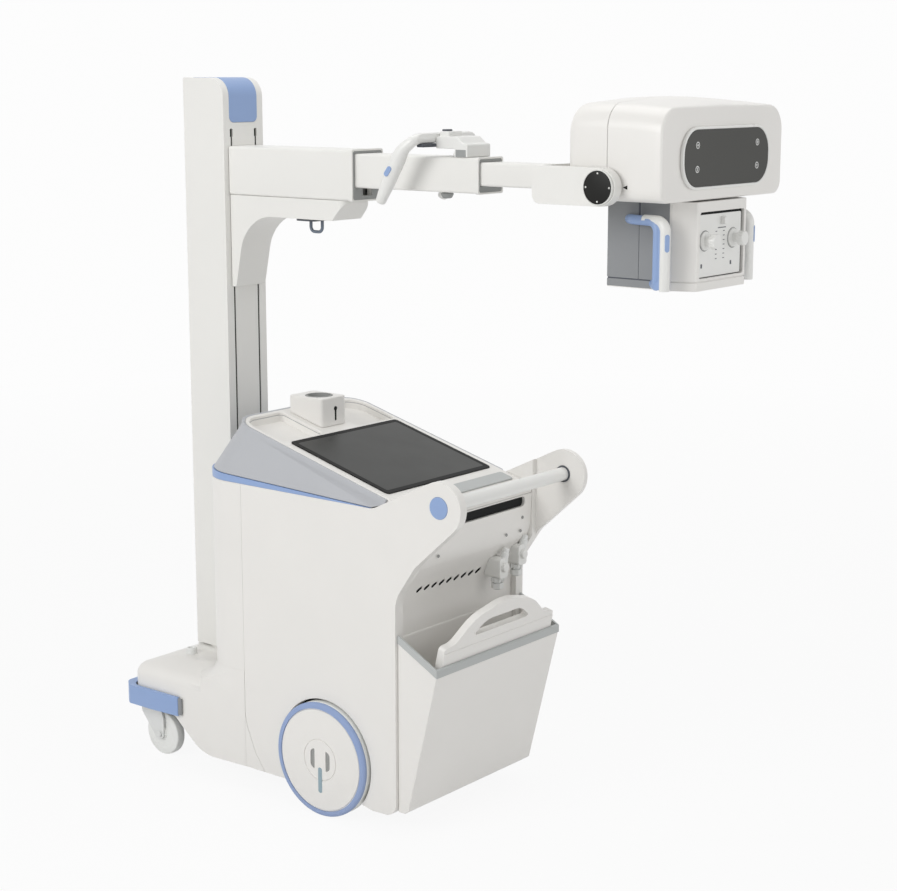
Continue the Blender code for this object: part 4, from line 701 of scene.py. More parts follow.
yokeValues = {"rear": -0.658, "cross": 0.0085, "outer": 0.285, "inner": 0.259, "low": 1.588, "high": 1.670,
              "tiltY": -0.834, "tiltZ": 1.629, "edge": 0.004, "dialRadius": 0.0375, "dotRing": 0.0300,
              "dotRadius": 0.0020, "bossNear": 0.2538, "bossFar": 0.2592, "bossRadius": 0.0235}


def makeYoke(v):
    nose = (v["high"] - v["low"]) / 2
    shape = [(v["rear"], v["high"], 0.008), (v["rear"], v["low"], 0.020),
             (v["tiltY"] - nose, v["low"], nose * 0.999), (v["tiltY"] - nose, v["high"], nose * 0.999)]
    fork = slab(shape, "X", -v["outer"], v["outer"])
    space = block("X", -1.2, v["rear"] - v["cross"], 1.5, 1.8, -v["inner"], v["inner"])
    slot = block("Z", -0.150, 0.150, v["rear"] - 0.0066, v["rear"] - 0.0022, v["high"] - 0.003,
                 v["high"] + spare, 0.0015)
    addPiece("yokeFork", combine(fork, [space, slot]), "yoke", "metalPaint", ["yoke_fork"],
             v["edge"], 3, 60)
    # A dark sheet in the slot behind the head: painted shadow in the gap.
    shadow = block("Z", -0.1498, 0.1498, v["rear"] - 0.0064, v["rear"] - 0.0024, v["high"] - 0.0029,
                   v["high"] - 0.0012)
    addPiece("yokeSlotShadow", shadow, "yoke", "paintedShadeBlack")

    def dial(side, sign):
        centre = Vector((0, v["tiltY"], v["tiltZ"]))
        near, far, reach = v["bossNear"], v["bossFar"], v["bossRadius"]
        boss = [(0, near, 0), (reach, near, 0), (reach, far, 0), (0, far, 0)]
        radius, out, seat = v["dialRadius"], v["outer"], v["outer"] + hairline
        face = [(0, seat, 0), (radius - 0.0022, seat, 0), (radius - 0.0022, out + 0.0054, 0.0006),
                (0, out + 0.0054, 0)]
        ring = [(radius - 0.0018, seat, 0), (radius + 0.0005, seat, 0),
                (radius + 0.0005, out + 0.0050, 0.0010), (radius - 0.0008, out + 0.0060, 0.0005),
                (radius - 0.0018, out + 0.0060, 0)]
        rounds = [("yokeBoss", boss, "metalPaint", "white_metal", []),
                  ("angleDial", face, "dialBlack", "dark_plastic", ["angle_dial_" + side]),
                  ("dialRing", ring, "markWhite", "white_metal", [])]
        for name, rows, finish, slot, gone in rounds:
            rows = [(r, sign * h, bend) for r, h, bend in rows]
            addPiece(name + side.title(), turned(rows, "X", centre), "yoke", finish, gone)
        low, high = span(sign * (v["outer"] + 0.0053), sign * (v["outer"] + 0.0058))
        dots = []
        for quarter in range(4):
            angle = quarter * math.pi / 2
            at = centre + Vector((0, math.cos(angle), math.sin(angle))) * v["dotRing"]
            dots.append(rod(v["dotRadius"], low, high, "X", at, 16))
        addPiece("dialDots" + side.title(), joined(*dots), "yoke", "markWhite")
    bothSides(dial)


makeYoke(yokeValues)

headValues = {"half": 0.2535, "low": 1.597, "high": 1.795, "rear": -0.7212, "seam": -0.833, "front": -0.970,
              "topCorner": 0.055, "lowCorner": 0.028, "frontEdge": 0.006, "rearEdge": 0.032,
              "seamDepth": 0.0008, "lift": [(-0.970, 0.004), (-0.935, 0.013), (-0.890, 0.021),
                                            (-0.840, 0.025), (-0.790, 0.025), (-0.719, 0.018)],
              "bezelHalf": 0.1830, "bezelLow": 1.6212, "bezelHigh": 1.7548, "bezelCorner": 0.059,
              "bezelThick": 0.009, "glassInset": 0.0060}


def makeHead(v):
    # One closed ring of the head: its top is crowned and rises from the display to the middle.
    def headRing(y, inset=0.0):
        lift = between(v["lift"], y)
        half, low, shoulder = v["half"] - inset, v["low"] + inset, v["high"] + lift * 0.3 - inset
        top, foot = v["topCorner"] - inset * 0.6, v["lowCorner"] - inset * 0.5
        rows = [(-half, low, foot), (half, low, foot), (half, shoulder, top),
                (0, v["high"] + lift - inset, 1.3), (-half, shoulder, top)]
        return rows, (lambda at: Vector((at.x, y, at.y))), 10

    def quarter(radius, steps):
        return [(radius * (1 - math.cos(math.pi / 2 * k / steps)),
                 radius * (1 - math.sin(math.pi / 2 * k / steps))) for k in range(steps + 1)]
    frontRings = [headRing(v["front"] + step, inset) for step, inset in quarter(v["frontEdge"], 4)]
    frontRings += [headRing(y) for y in (-0.945, -0.920, -0.890, -0.862)]
    # Both shells turn in a little where they meet.
    frontRings += [headRing(v["seam"] - 0.0010), headRing(v["seam"] - 0.0002, v["seamDepth"])]
    rearRings = [headRing(v["seam"] + 0.0008, v["seamDepth"]), headRing(v["seam"] + 0.0016)]
    rearRings += [headRing(y) for y in (-0.805, -0.780)]
    rearRings += [headRing(v["rear"] - step, inset) for step, inset in quarter(v["rearEdge"], 8)[::-1]]
    addPiece("headFrontShell", stacked(frontRings), "tube_assembly", "bodyPaint",
             ["head_front_shell"])
    addPiece("headRearShell", stacked(rearRings), "tube_assembly", "bodyPaint", ["head_rear_shell"])
    seamRings = [headRing(v["seam"] - 0.002, v["seamDepth"] * 2),
                 headRing(v["seam"] + 0.003, v["seamDepth"] * 2)]
    addPiece("headSeam", stacked(seamRings), "tube_assembly", "seamGrey")
    half, low, high, corner = v["bezelHalf"], v["bezelLow"], v["bezelHigh"], v["bezelCorner"]
    front = v["front"] - v["bezelThick"]
    bezel = block("Y", -half, half, low, high, front, v["front"] - hairline, corner)
    inset = v["glassInset"]
    well = block("Y", -half + inset, half - inset, low + inset, high - inset, front - spare, front + 0.005,
                 corner - inset)
    addPiece("displayBezel", combine(bezel, [well]), "tube_assembly", "gripPaint",
             ["display_bezel"], 0.0034, 4, 50)
    glassGap = inset + 0.0004
    glass = block("Y", -half + glassGap, half - glassGap, low + glassGap, high - glassGap, front + 0.0008,
                  front + 0.0047, corner - glassGap)
    addPiece("headDisplay", glass, "tube_assembly", "displayGlass", ["head_display"], 0.0006, 2,
             50)
    makeIcons(front + 0.0008)

    def pointer(side, sign):
        low, high = span(sign * (v["half"] - 0.0002), sign * (v["half"] + 0.0004))
        arrow = slab([(-0.8740, 1.629, 0), (-0.8855, 1.6335, 0), (-0.8855, 1.6245, 0)], "X", low, high)
        addPiece("tiltPointer" + side.title(), arrow, "tube_assembly", "dialBlack")
    bothSides(pointer)


# Four plain signs on the display: a ring with a dot, a bar, a cross and a smaller ring.
def makeIcons(glassY):
    signs = []
    ringRows = [(0.0056, -0.0002, 0), (0.0074, -0.0002, 0), (0.0074, 0.0, 0), (0.0056, 0.0, 0)]

    def mark(x, z, halfX, halfZ):
        return block("Y", x - halfX, x + halfX, z - halfZ, z + halfZ, glassY - 0.0002, glassY, 0.0003)
    for x, z, kind in ((-0.125, 1.716, "dot"), (-0.125, 1.665, "bar"), (0.127, 1.716, "cross"),
                       (0.127, 1.665, "ring")):
        signs.append(turned(ringRows, "Y", (x, glassY, z), 28))
        if kind == "dot":
            signs.append(rod(0.0026, -0.0002, 0, "Y", (x, glassY, z), 16))
        if kind in ("bar", "cross"):
            signs.append(mark(x, z, 0.0011, 0.0040))
        if kind == "cross":
            signs.append(mark(x, z, 0.0040, 0.0011))
        if kind == "ring":
            signs.append(turned([(0.0015, -0.0002, 0), (0.0028, -0.0002, 0), (0.0028, 0, 0),
                                 (0.0015, 0, 0)], "Y", (x, glassY, z), 20))
    addPiece("displaySigns", joined(*signs), "tube_assembly", "iconGrey")


makeHead(headValues)
print("yoke and head made")


# Collimator under the head

collimatorValues = {"rearHalf": 0.125, "frontHalf": 0.103, "rear": -0.748, "chamfer": -0.918,
                    "front": -0.970, "low": 1.400, "high": 1.5935, "portY": -0.875, "portRadius": 0.0745,
                    "grooveZ": 1.420, "coverSplit": (-0.8345, -0.8335), "panelHalf": 0.090,
                    "panelLow": 1.430, "panelHigh": 1.568, "recess": 0.008, "knobZ": 1.508,
                    "knobRadius": 0.0165, "knobFlange": 0.0205, "flutes": 14, "knobXLeft": -0.066,
                    "knobXRight": 0.052, "knobTip": -0.9985, "gripX": 0.165, "gripY": -0.926,
                    "gripRadius": 0.0118, "gripYRight": -0.940, "coreY": -0.908, "coreRadius": 0.0108}


def makeCollimator(v):
    def planShape(grow=0.0):
        rear, front = v["rearHalf"] + grow, v["frontHalf"] + grow
        return [(-rear, v["rear"] + grow, 0.006), (rear, v["rear"] + grow, 0.006),
                (rear, v["chamfer"] - grow * 0.4, 0.012), (front, v["front"] - grow, 0.006),
                (-front, v["front"] - grow, 0.006), (-rear, v["chamfer"] - grow * 0.4, 0.012)]
    box = slab(planShape(), "Z", v["low"], v["high"])
    groove = combine(slab(planShape(0.02), "Z", v["grooveZ"] - 0.0012, v["grooveZ"] + 0.0012),
                     [slab(planShape(-0.002), "Z", 1.3, 1.6)])
    half, face = v["panelHalf"], v["front"] + v["recess"]
    recess = block("Y", -half - 0.003, half + 0.003, v["panelLow"] - 0.003, v["panelHigh"] + 0.003,
                   v["front"] - 0.02, face, 0.006)
    portWell = rod(v["portRadius"], 1.5765, 1.62, "Z", (0, v["portY"], 0), 72)
    addPiece("collimatorBody", combine(box, [groove, recess, portWell]), "collimator", "bodyPaint",
             ["collimator_body"], 0.0022, 3, 50)
    # A dark frame round the recessed panel: painted shadow in the gap round it.
    shade = block("Y", -half - 0.0028, half + 0.0028, v["panelLow"] - 0.0028, v["panelHigh"] + 0.0028,
                  face - 0.0008, face - 0.0001, 0.0058)
    addPiece("collimatorPanelGapShade", shade, "collimator", "paintedShadeBlack")
    panelFace = face - 0.0032
    panel = block("Y", -half, half - 0.003, v["panelLow"] - 0.001, v["panelHigh"] - 0.003, panelFace,
                  face - 0.0009, 0.004)
    addPiece("collimatorPanel", panel, "collimator", "gripPaint", ["collimator_panel"],
             0.0006, 2, 50)

    def sideCover(side, sign):
        low, high = span(sign * (v["rearHalf"] - 0.002), sign * (v["rearHalf"] + 0.0007))
        near, far, top = v["chamfer"] + 0.006, v["rear"] - 0.003, v["high"] - 0.003
        foot, floor = v["grooveZ"] + 0.0014, v["grooveZ"] - 0.0014
        splitNear, splitFar = v["coverSplit"]
        sizes = [(near, splitNear, foot, top), (splitFar, far, foot, top),
                 (near, far, v["low"] + 0.002, floor)]
        parts = [block("X", *size, low, high, 0.0015) for size in sizes]
        addPiece("collimatorSide" + side.title(), joined(*parts), "collimator", "sideGrey",
                 soften=0.0005, segments=1)
        # A dark sheet under the side covers fills the gaps between them: painted shade in the seams.
        seamShade = block("X", v["chamfer"] + 0.008, v["rear"] - 0.005, v["low"] + 0.004, v["high"] - 0.005,
                      *span(sign * (v["rearHalf"] - 0.001), sign * (v["rearHalf"] + 0.0002)))
        addPiece("collimatorSeamShade" + side.title(), seamShade, "collimator", "slate")
    bothSides(sideCover)

    def knob(side, x):
        r, flange, tip = v["knobRadius"], v["knobFlange"], v["knobTip"]
        rows = [(0, panelFace - 0.0002, 0), (flange, panelFace - 0.0002, 0),
                (flange, panelFace - 0.0035, 0.0012), (r * 0.62, panelFace - 0.0045, 0.002),
                (r * 0.62, tip + 0.0165, 0.001), (r, tip + 0.0155, 0.0015), (r * 0.94, tip, 0.003),
                (0, tip, 0)]
        body = turned(rows, "Y", (x, 0, v["knobZ"]), 56)
        # Finger flutes round the cap.
        flutes = []
        for k in range(v["flutes"]):
            angle, out = math.tau * k / v["flutes"], r + 0.0006
            place = (x + out * math.cos(angle), 0, v["knobZ"] + out * math.sin(angle))
            flutes.append(rod(0.0022, tip - spare, tip + 0.013, "Y", place, 12))
        addPiece("collimatorKnob" + side.title(), combine(body, flutes), "collimator", "gripPaint",
                 ["collimator_knob_" + side], 0.0005, 1, 55)
        # A grey ring round each knob's flange: painted shadow round the knob.
        ring = turned([(flange + 0.0004, panelFace - 0.0004, 0), (flange + 0.0024, panelFace - 0.0004, 0),
                       (flange + 0.0024, panelFace + 0.0002, 0), (flange + 0.0004, panelFace + 0.0002, 0)],
                      "Y", (x, 0, v["knobZ"]), 48)
        addPiece("knobShadowRing" + side.title(), ring, "collimator", "plugGrey")
    knob("left", v["knobXLeft"])
    knob("right", v["knobXRight"])
    slider = block("Y", 0.000, 0.013, 1.541, 1.558, v["front"] - 0.006, panelFace - 0.0002, 0.003)
    addPiece("fieldSlider", slider, "collimator", "gripPaint", soften=0.0012, segments=2)
    marks = [block("Y", x - 0.0030, x + 0.0030, 1.449, 1.458, panelFace - 0.0004, panelFace + 0.0004, 0.001)
             for x in (-0.078, 0.046)]
    for x in (-0.018, 0.014):
        for k in range(7):
            z = 1.466 + 0.010 * k
            marks.append(block("Y", x - 0.0034, x + 0.0034, z - 0.0008, z + 0.0008, panelFace - 0.0003,
                               panelFace + 0.0004))
    marks.append(block("Y", -0.012, 0.022, 1.5325, 1.5345, panelFace - 0.0003, panelFace + 0.0004))
    addPiece("panelMarks", joined(*marks), "collimator", "slate")

    # The handles: a blue core with a white shell over its front.
    def sideGrip(side, sign):
        wall, out = sign * (v["rearHalf"] - 0.004), sign * v["gripX"]
        gripY = v["gripY"] if sign < 0 else v["gripYRight"]
        rows = [((wall, -0.806, 1.552), 0), ((sign * 0.151, -0.834, 1.5535), 0.030),
                ((out, v["coreY"], 1.553), 0.024), ((out, v["coreY"], 1.413), 0.016),
                ((wall, -0.872, 1.413), 0)]
        keep = block("X", -0.95, -0.70, 1.3, 1.6, -v["rearHalf"] - 0.001, v["rearHalf"] + 0.001)
        core = combine(tube(bendPath(rows), v["coreRadius"]), [keep])
        web = block("Z", *span(out - sign * 0.0085, out + sign * 0.0085), gripY, v["coreY"] + 0.006, 1.4065,
                    1.548, 0.005)
        addPiece("collimatorGrip" + side.title(), joined(core, web), "collimator", "bluePlastic",
                 ["collimator_grip_" + side], 0.0012, 2, 60)
        outer = [((sign * 0.1555, -0.866, 1.5545), 0), ((out, gripY, 1.5545), 0.024),
                 ((out, gripY, 1.4035), 0)]
        shift = Vector((sign * 0.0008, -0.0012, 0))
        cover = tube([place + shift for place in bendPath(outer)], v["gripRadius"])
        addPiece("gripCover" + side.title(), cover, "collimator", "gripPaint", soften=0.0035,
                 segments=3, limit=60)
        key = block("X", -0.0052, 0.0052, -0.019, 0.019, -0.002, 0.0014, 0.0050)
        key.transform(Matrix.Translation((out + shift.x, gripY + shift.y, 1.508))
                      @ rotation(-55 if sign > 0 else -125, "Z")
                      @ Matrix.Translation((v["gripRadius"], 0, 0)))
        addPiece("gripCoverKey" + side.title(), key, "collimator", "bluePlastic",
                 soften=0.001, segments=2)
        pin = rod(0.0022, 1.5625, 1.590, "Z", (sign * 0.137, -0.842, 0), 16)
        addPiece("gripPin" + side.title(), pin, "collimator", "slate")
    bothSides(sideGrip)


makeCollimator(collimatorValues)
print("collimator made")


# Body covers

bodyValues = {"half": 0.260, "panel": 0.030, "front": 0.458, "corner": 0.120, "shell": 0.006, "seam": 0.284,
              "bottom": 0.060, "deck": 0.828, "wheelRadius": 0.150, "archGap": 0.006, "gripY": -0.375,
              "gripZ": 0.859, "bossRadius": 0.066, "barRadius": 0.0172, "capRadius": 0.027,
              "armInner": {"left": 0.236, "right": 0.246}}


def planRows(half, front, corner, rear):
    return [(-half, rear, 0), (half, rear, 0), (half, front, corner), (-half, front, corner)]


def makeCovers(v):
    shroud = slab(planRows(v["half"], v["front"], v["corner"], v["seam"] + hairline), "Z", v["bottom"],
                  v["deck"])
    inside = slab(planRows(v["half"] - v["shell"], v["front"] - v["shell"], v["corner"] - v["shell"],
                           v["seam"] - 0.02), "Z", 0, 1)
    tray = block("X", 0.40, 0.50, 0.0, 0.166, -trayRoom, trayRoom)
    seam, low = v["seam"], v["bottom"]
    foot = [(seam - 0.070, low, 0.004), (seam - 0.035, 0.106, 0.090), (seam, 0.190, 0.120)]
    # The shroud fills the foot of the seam, which curves backwards there.
    panelFoot = slab([(0.0, low - 0.05, 0), (seam - 0.070, low - 0.05, 0),
                      *[(y + 0.0008, z, bend) for y, z, bend in foot], (seam + 0.0008, 0.5, 0),
                      (0.0, 0.5, 0)], "X", -0.3, 0.3)
    cheeks = [combine(block("X", seam - 0.075, seam + 0.002, low, 0.210,
                            *span(sign * (v["half"] - v["shell"]), sign * v["half"])), [panelFoot.copy()])
              for sign in (-1, 1)]
    shroud = combine(combine(shroud, [inside, tray]), cheeks, "UNION")
    addPiece("frontShroud", shroud, "power_unit", "bodyPaint", ["front_shroud"], 0.0016, 2, 45)

    def sidePanel(side, sign):
        edge, armInner = -0.238, v["armInner"][side]
        rows = [(edge, 0.050, 0.035), (-0.160, 0.048, 0.010), (-0.100, low, 0.010), *foot,
                (seam, v["deck"], 0), (-0.168, v["deck"], 0.030),
                *aroundBoss((v["gripY"], v["gripZ"]), v["bossRadius"], 67, 230), (-0.300, 0.700, 0.080),
                (edge, 0.610, 0.080)]
        inner, outer = span(sign * (v["half"] - v["panel"]), sign * v["half"])
        arch = rod(v["wheelRadius"] + v["archGap"], inner - spare, outer + spare, "X",
                   (0, 0, v["wheelRadius"]), 96)
        # The arms that hold the push bar are thinner than the panel.
        thin = slab([(-0.2895, 0.68, 0), (-0.2895, 1.0, 0), (-0.50, 1.0, 0), (-0.50, 0.68, 0)], "X",
                    *span(sign * (v["half"] - v["panel"] - spare), sign * armInner))
        bores = [thin]
        for radius, near, far in ((v["barRadius"] + hairline, armInner - spare, armInner + 0.006),
                                  (v["capRadius"] + hairline, v["half"] - 0.003, v["half"] + spare)):
            near, far = span(sign * near, sign * far)
            bores.append(rod(radius, near, far, "X", (0, v["gripY"], v["gripZ"]), 64))
        addPiece("sidePanel" + side.title(), combine(slab(rows, "X", inner, outer), [arch, *bores]),
                 "power_unit", "bodyPaint", ["side_panel_" + side], 0.0055, 4, 50)
        near, far = span(sign * (v["half"] - 0.003 + hairline), sign * (v["half"] + 0.0015))
        flat, lip = (far, near) if sign > 0 else (near, far)
        cap = turned([(0, lip, 0), (v["capRadius"], lip, 0), (v["capRadius"], flat, 0.0012), (0, flat, 0)],
                     "X", (0, v["gripY"], v["gripZ"]), 64)
        addPiece("pushBarCap" + side.title(), cap, "power_unit", "bluePlastic",
                 ["push_bar_cap_" + side])
        near, far = span(sign * (armInner - 0.0022), sign * (armInner - 0.0002))
        ring = turned([(v["barRadius"] + 0.0004, near, 0), (v["barRadius"] + 0.0045, near, 0.0005),
                       (v["barRadius"] + 0.0045, far, 0.0005), (v["barRadius"] + 0.0004, far, 0)], "X",
                      (0, v["gripY"], v["gripZ"]), 48)
        addPiece("pushBarRing" + side.title(), ring, "power_unit", "slate")
    bothSides(sidePanel)
    first, last = -v["armInner"]["left"] - 0.0055, v["armInner"]["right"] + 0.0055
    bar = rod(v["barRadius"], first, last, "X", (0, v["gripY"], v["gripZ"]), 48)
    addPiece("pushBar", bar, "power_unit", "gripPaint", ["push_bar"])


makeCovers(bodyValues)

noseValues = {"bodyHalf": 0.2606, "clearHalf": 0.2603, "clearFront": 0.4583, "bodyCorner": 0.120,
              "half": 0.272, "front": 0.714, "corner": 0.038, "edgeZ": 0.259, "topZ": 0.284, "rim": 0.024,
              "slope": 0.075, "fillet": 0.046, "bumperLow": 0.153, "bumperHigh": 0.206, "bumperHalf": 0.288,
              "bumperFront": 0.745, "bumperEnd": 0.522, "bumperEdge": 0.005, "bumperGap": 0.0035}


def makeNose(v):
    def nosePlan(inset=0.0):
        half, near = v["half"] - inset, v["bodyHalf"] - inset
        return [(-near, 0.2846, 0), (near, 0.2846, 0), (half, 0.520, 0.200),
                (half, v["front"] - inset, v["corner"]), (-half, v["front"] - inset, v["corner"]),
                (-half, 0.520, 0.200)]
    # The deck is drawn in and lifted towards the mast, with a broad round rim.
    inner = v["slope"]
    deck = [(-v["bodyHalf"] + inner, 0.2846, 0), (v["bodyHalf"] - inner, 0.2846, 0),
            (v["half"] - inner, 0.520, 0.200), (v["half"] - inner, v["front"] - inner, 0.020),
            (-v["half"] + inner, v["front"] - inner, 0.020), (-v["half"] + inner, 0.520, 0.200)]
    nose = stacked([(nosePlan(), level(0.010), 12), (nosePlan(), level(v["edgeZ"]), 12),
                    (deck, level(v["topZ"]), 12)])
    rim = [edge for edge in nose.edges if all(abs(vert.co.z - v["edgeZ"]) < 1e-5 for vert in edge.verts)]
    bmesh.ops.bevel(nose, geom=rim, offset=v["rim"], offset_type="OFFSET", segments=7, profile=0.5,
                    affect="EDGES", material=-1)

    # The body's own outline with a hairline round it.
    def clearPlan(grow, rear=0.24):
        return planRows(v["clearHalf"] + grow, v["clearFront"] + grow, v["bodyCorner"] + grow, rear)

    # A hollow fillet where the deck runs up into the body.
    steps, radius = 8, v["fillet"]
    rings = []
    for k in range(steps + 1):
        angle = math.pi / 2 * k / steps
        grow, height = radius * (1 - math.sin(angle)), radius * (1 - math.cos(angle))
        rings.append((clearPlan(grow), level(v["topZ"] - 0.006 + height), 18))
    rings.insert(0, (clearPlan(radius), level(0.20), 18))
    skirt = combine(stacked(rings), [slab(nosePlan(), "Z", 0.1, 0.5)], "INTERSECT")
    nose = combine(nose, [skirt], "UNION")
    under = slab([(0.20, -0.05, 0), (0.20, 0.0600, 0), (0.440, 0.0600, 0.100), (0.545, 0.149, 0.030),
                  (0.80, 0.149, 0), (0.80, -0.05, 0)], "X", -0.4, 0.4)
    behind = slab(clearPlan(0.0, 0.20), "Z", -0.1, 0.6)
    tray = block("X", 0.20, 0.6995, 0.0, 0.1645, -trayRoom, trayRoom)
    well = rod(0.1043, 0.1, 0.4, "Z", (0, columnY, 0), 72)
    addPiece("noseCover", combine(nose, [behind, under, tray, well]), "power_unit", "bodyPaint",
             ["nose_cover"], 0.0012, 2, 55, 50)
    boss = turned([(0, 0.270, 0), (0.015, 0.270, 0), (0.015, 0.3010, 0.004), (0.009, 0.3012, 0.001),
                   (0.008, 0.2980, 0), (0, 0.2980, 0)], "Z", (-0.150, 0.600, 0), 40)
    addPiece("noseBoss", boss, "power_unit", "forkPlastic")
    half, front, end, gap = v["bumperHalf"], v["bumperFront"], v["bumperEnd"], v["bumperGap"]
    plan = [(-half + 0.006, end, 0.003), (half - 0.006, end, 0.003), (half, 0.620, 0.120),
            (half, front - 0.036, 0.020), (half - 0.026, front - 0.004, 0.024), (0.110, front, 0.300),
            (-0.110, front, 0.300), (-half + 0.026, front - 0.004, 0.024), (-half, front - 0.036, 0.020),
            (-half, 0.620, 0.120)]
    bumper = combine(slab(plan, "Z", v["bumperLow"], v["bumperHigh"]),
                     [slab(nosePlan(-gap), "Z", 0.05, 0.35)])
    # A dark band in the gap between bumper and nose: painted shadow in the gap.
    behindBumper = combine(slab(nosePlan(-gap + 0.0004), "Z", v["bumperLow"] + 0.004,
                                v["bumperHigh"] - 0.004),
                           [slab(nosePlan(-0.0004), "Z", 0.05, 0.35),
                            block("Z", -0.4, 0.4, 0.1, end + 0.004, 0.05, 0.35)])
    addPiece("bumperGapShade", behindBumper, "power_unit", "paintedShadeBlack")
    addPiece("bumper", bumper, "power_unit", "bluePlastic", ["bumper"], v["bumperEdge"], 4,
             55)

    def bumperEnd(side, sign):
        near, far = span(sign * 0.2735, sign * (half - 0.0085))
        stub = block("Z", near, far, end - 0.012, end + 0.006, v["bumperLow"] + 0.003,
                     v["bumperHigh"] - 0.003, 0.003)
        addPiece("bumperEnd" + side.title(), stub, "power_unit", "sideGrey", soften=0.002,
                 segments=2)
    bothSides(bumperEnd)


makeNose(noseValues)
print("covers and nose made")


# Operator's wall, with its seam, vents, screws and two hanging plug housings

wallValues = {"half": 0.2295, "thick": 0.016, "low": 0.076, "high": 0.800, "slotHalf": 0.200,
              "slotLow": 0.770, "slotHigh": 0.7965, "ventY": -0.2362, "ventZ": 0.617, "ventSlant": -24,
              "ventLean": -20, "ventFrom": -0.165, "ventTo": 0.070, "vents": 9, "nutY": -0.264, "ribs": 10}


def makeWall(v):
    profile = [(-0.222, v["low"], 0), (-0.222, 0.600, 0.180), (-0.284, 0.700, 0.110), (-0.288, v["high"], 0)]
    back = [(y + v["thick"], z, bend) for y, z, bend in profile[::-1]]
    wall = slab(profile + back, "X", -v["half"], v["half"])
    slot = block("Y", -v["slotHalf"], v["slotHalf"], v["slotLow"], v["slotHigh"], -0.31, -0.2765, 0.011)
    cuts, shades = [slot], []
    for k in range(v["vents"]):
        x = v["ventFrom"] + (v["ventTo"] - v["ventFrom"]) * k / (v["vents"] - 1)
        place = Matrix.Translation((x, v["ventY"], v["ventZ"]))
        lean = place @ rotation(v["ventSlant"], "Y") @ rotation(v["ventLean"], "X")
        for depth, bucket in ((-0.016, cuts), (0.0026, shades)):
            rows = boxRows(-0.0112, 0.0112, -0.0036, 0.0036, 0.0034)
            tool = slab(rows, "Y", depth, 0.0050)
            tool.transform(lean)
            bucket.append(tool)
    seam = block("Y", -0.3, 0.3, 0.7280, 0.7296, -0.30, -0.2852)
    addPiece("operatorWall", combine(wall, [*cuts, seam]), "power_unit", "bodyPaint",
             ["operator_wall"], 0.0010, 2, 50)
    # Dark sheets inside the vents: painted shade in the slots.
    addPiece("wallVentShade", joined(*shades), "power_unit", "paintedShadeBlack")
    # A dark sheet in the hand slot: painted shadow in the slot.
    slotShadow = block("Y", -v["slotHalf"] + 0.0004, v["slotHalf"] - 0.0004, v["slotLow"] + 0.0004,
                       v["slotHigh"] - 0.0004, -0.2795, -0.2768, 0.0106)
    addPiece("handSlotShadow", slotShadow, "power_unit", "paintedShadeBlack")
    screwHead = [(0, 0, 0), (0.0042, 0, 0), (0.0042, -0.0016, 0.0008), (0.0018, -0.0018, 0),
                 (0.0014, -0.0010, 0), (0, -0.0010, 0)]
    screwPlaces = [(0.192, -0.2862, 0.741), (0.186, -0.2845, 0.706), (0.126, -0.2845, 0.706),
                   (-0.150, -0.2845, 0.706)]
    screws = [turned(screwHead, "Y", place, 24) for place in screwPlaces]
    addPiece("wallScrews", joined(*screws), "power_unit", "seamGrey")

    # A hanging plug: the box, a tilted grip above it, and a ribbed nut with a hexagon below it.
    def socket(side, x, z):
        behind = slab([(-0.15, 0.3, 0), *[(y - hairline, w, bend) for y, w, bend in profile],
                       (-0.15, v["high"], 0)], "X", -0.3, 0.3)
        shell = combine(block("Y", x - 0.0175, x + 0.0175, z - 0.027, z + 0.027, -0.2835, -0.215, 0.009),
                        [behind.copy()])
        collar = turned([(0, -0.2925, 0), (0.0120, -0.2925, 0.003), (0.0120, -0.2830, 0), (0, -0.2830, 0)],
                        "Y", (x, 0, z + 0.002), 36)
        addPiece("wallSocket" + side.title(), joined(shell, collar), "power_unit", "gripPaint",
                 ["wall_socket_" + side], 0.0022, 3, 50)
        grip = turned([(0, 0.010, 0), (0.0105, 0.010, 0), (0.0105, 0.034, 0.003), (0.0085, 0.036, 0),
                       (0.0085, 0.047, 0.003), (0, 0.047, 0)], "Z", (0, 0, 0), 32)
        grip.transform(Matrix.Translation((x + 0.006, -0.2725, z + 0.004)) @ rotation(16, "Y")
                       @ rotation(6, "X"))
        addPiece("socketGrip" + side.title(), combine(grip, [behind]), "power_unit", "forkPlastic")
        nutAt = (x - 0.002, v["nutY"], 0)
        nut = turned([(0, z - 0.026, 0), (0.0145, z - 0.026, 0.001), (0.0145, z - 0.037, 0.001),
                      (0.009, z - 0.0375, 0), (0.009, z - 0.041, 0), (0, z - 0.041, 0)], "Z", nutAt, 36)
        ribs = []
        for k in range(v["ribs"]):
            rib = block("Z", -0.0012, 0.0012, -0.002, 0.002, z - 0.0375, z - 0.0255)
            rib.transform(Matrix.Translation(nutAt) @ Matrix.Rotation(math.tau * k / v["ribs"], 4, "Z")
                          @ Matrix.Translation((0, 0.0150, 0)))
            ribs.append(rib)
        hexagon = turned([(0, z - 0.041, 0), (0.0160, z - 0.041, 0), (0.0160, z - 0.055, 0),
                          (0.011, z - 0.058, 0), (0, z - 0.058, 0)], "Z", nutAt, 6)
        addPiece("socketNut" + side.title(), joined(combine(nut, ribs, "UNION"), hexagon), "power_unit",
                 "forkPlastic", soften=0.0005, segments=1, limit=50, smooth=25)
    socket("inner", 0.118, 0.620)
    socket("outer", 0.198, 0.640)


makeWall(wallValues)

# Detector bin and the flat detector standing in it

binValues = {"half": 0.224, "thick": 0.022, "height": 0.442, "rise": 0.074,
             "lean": math.atan(0.090 / 0.383), "footY": -0.2551, "footZ": 0.0728, "step": 0.0018,
             "bottom": 0.0620}


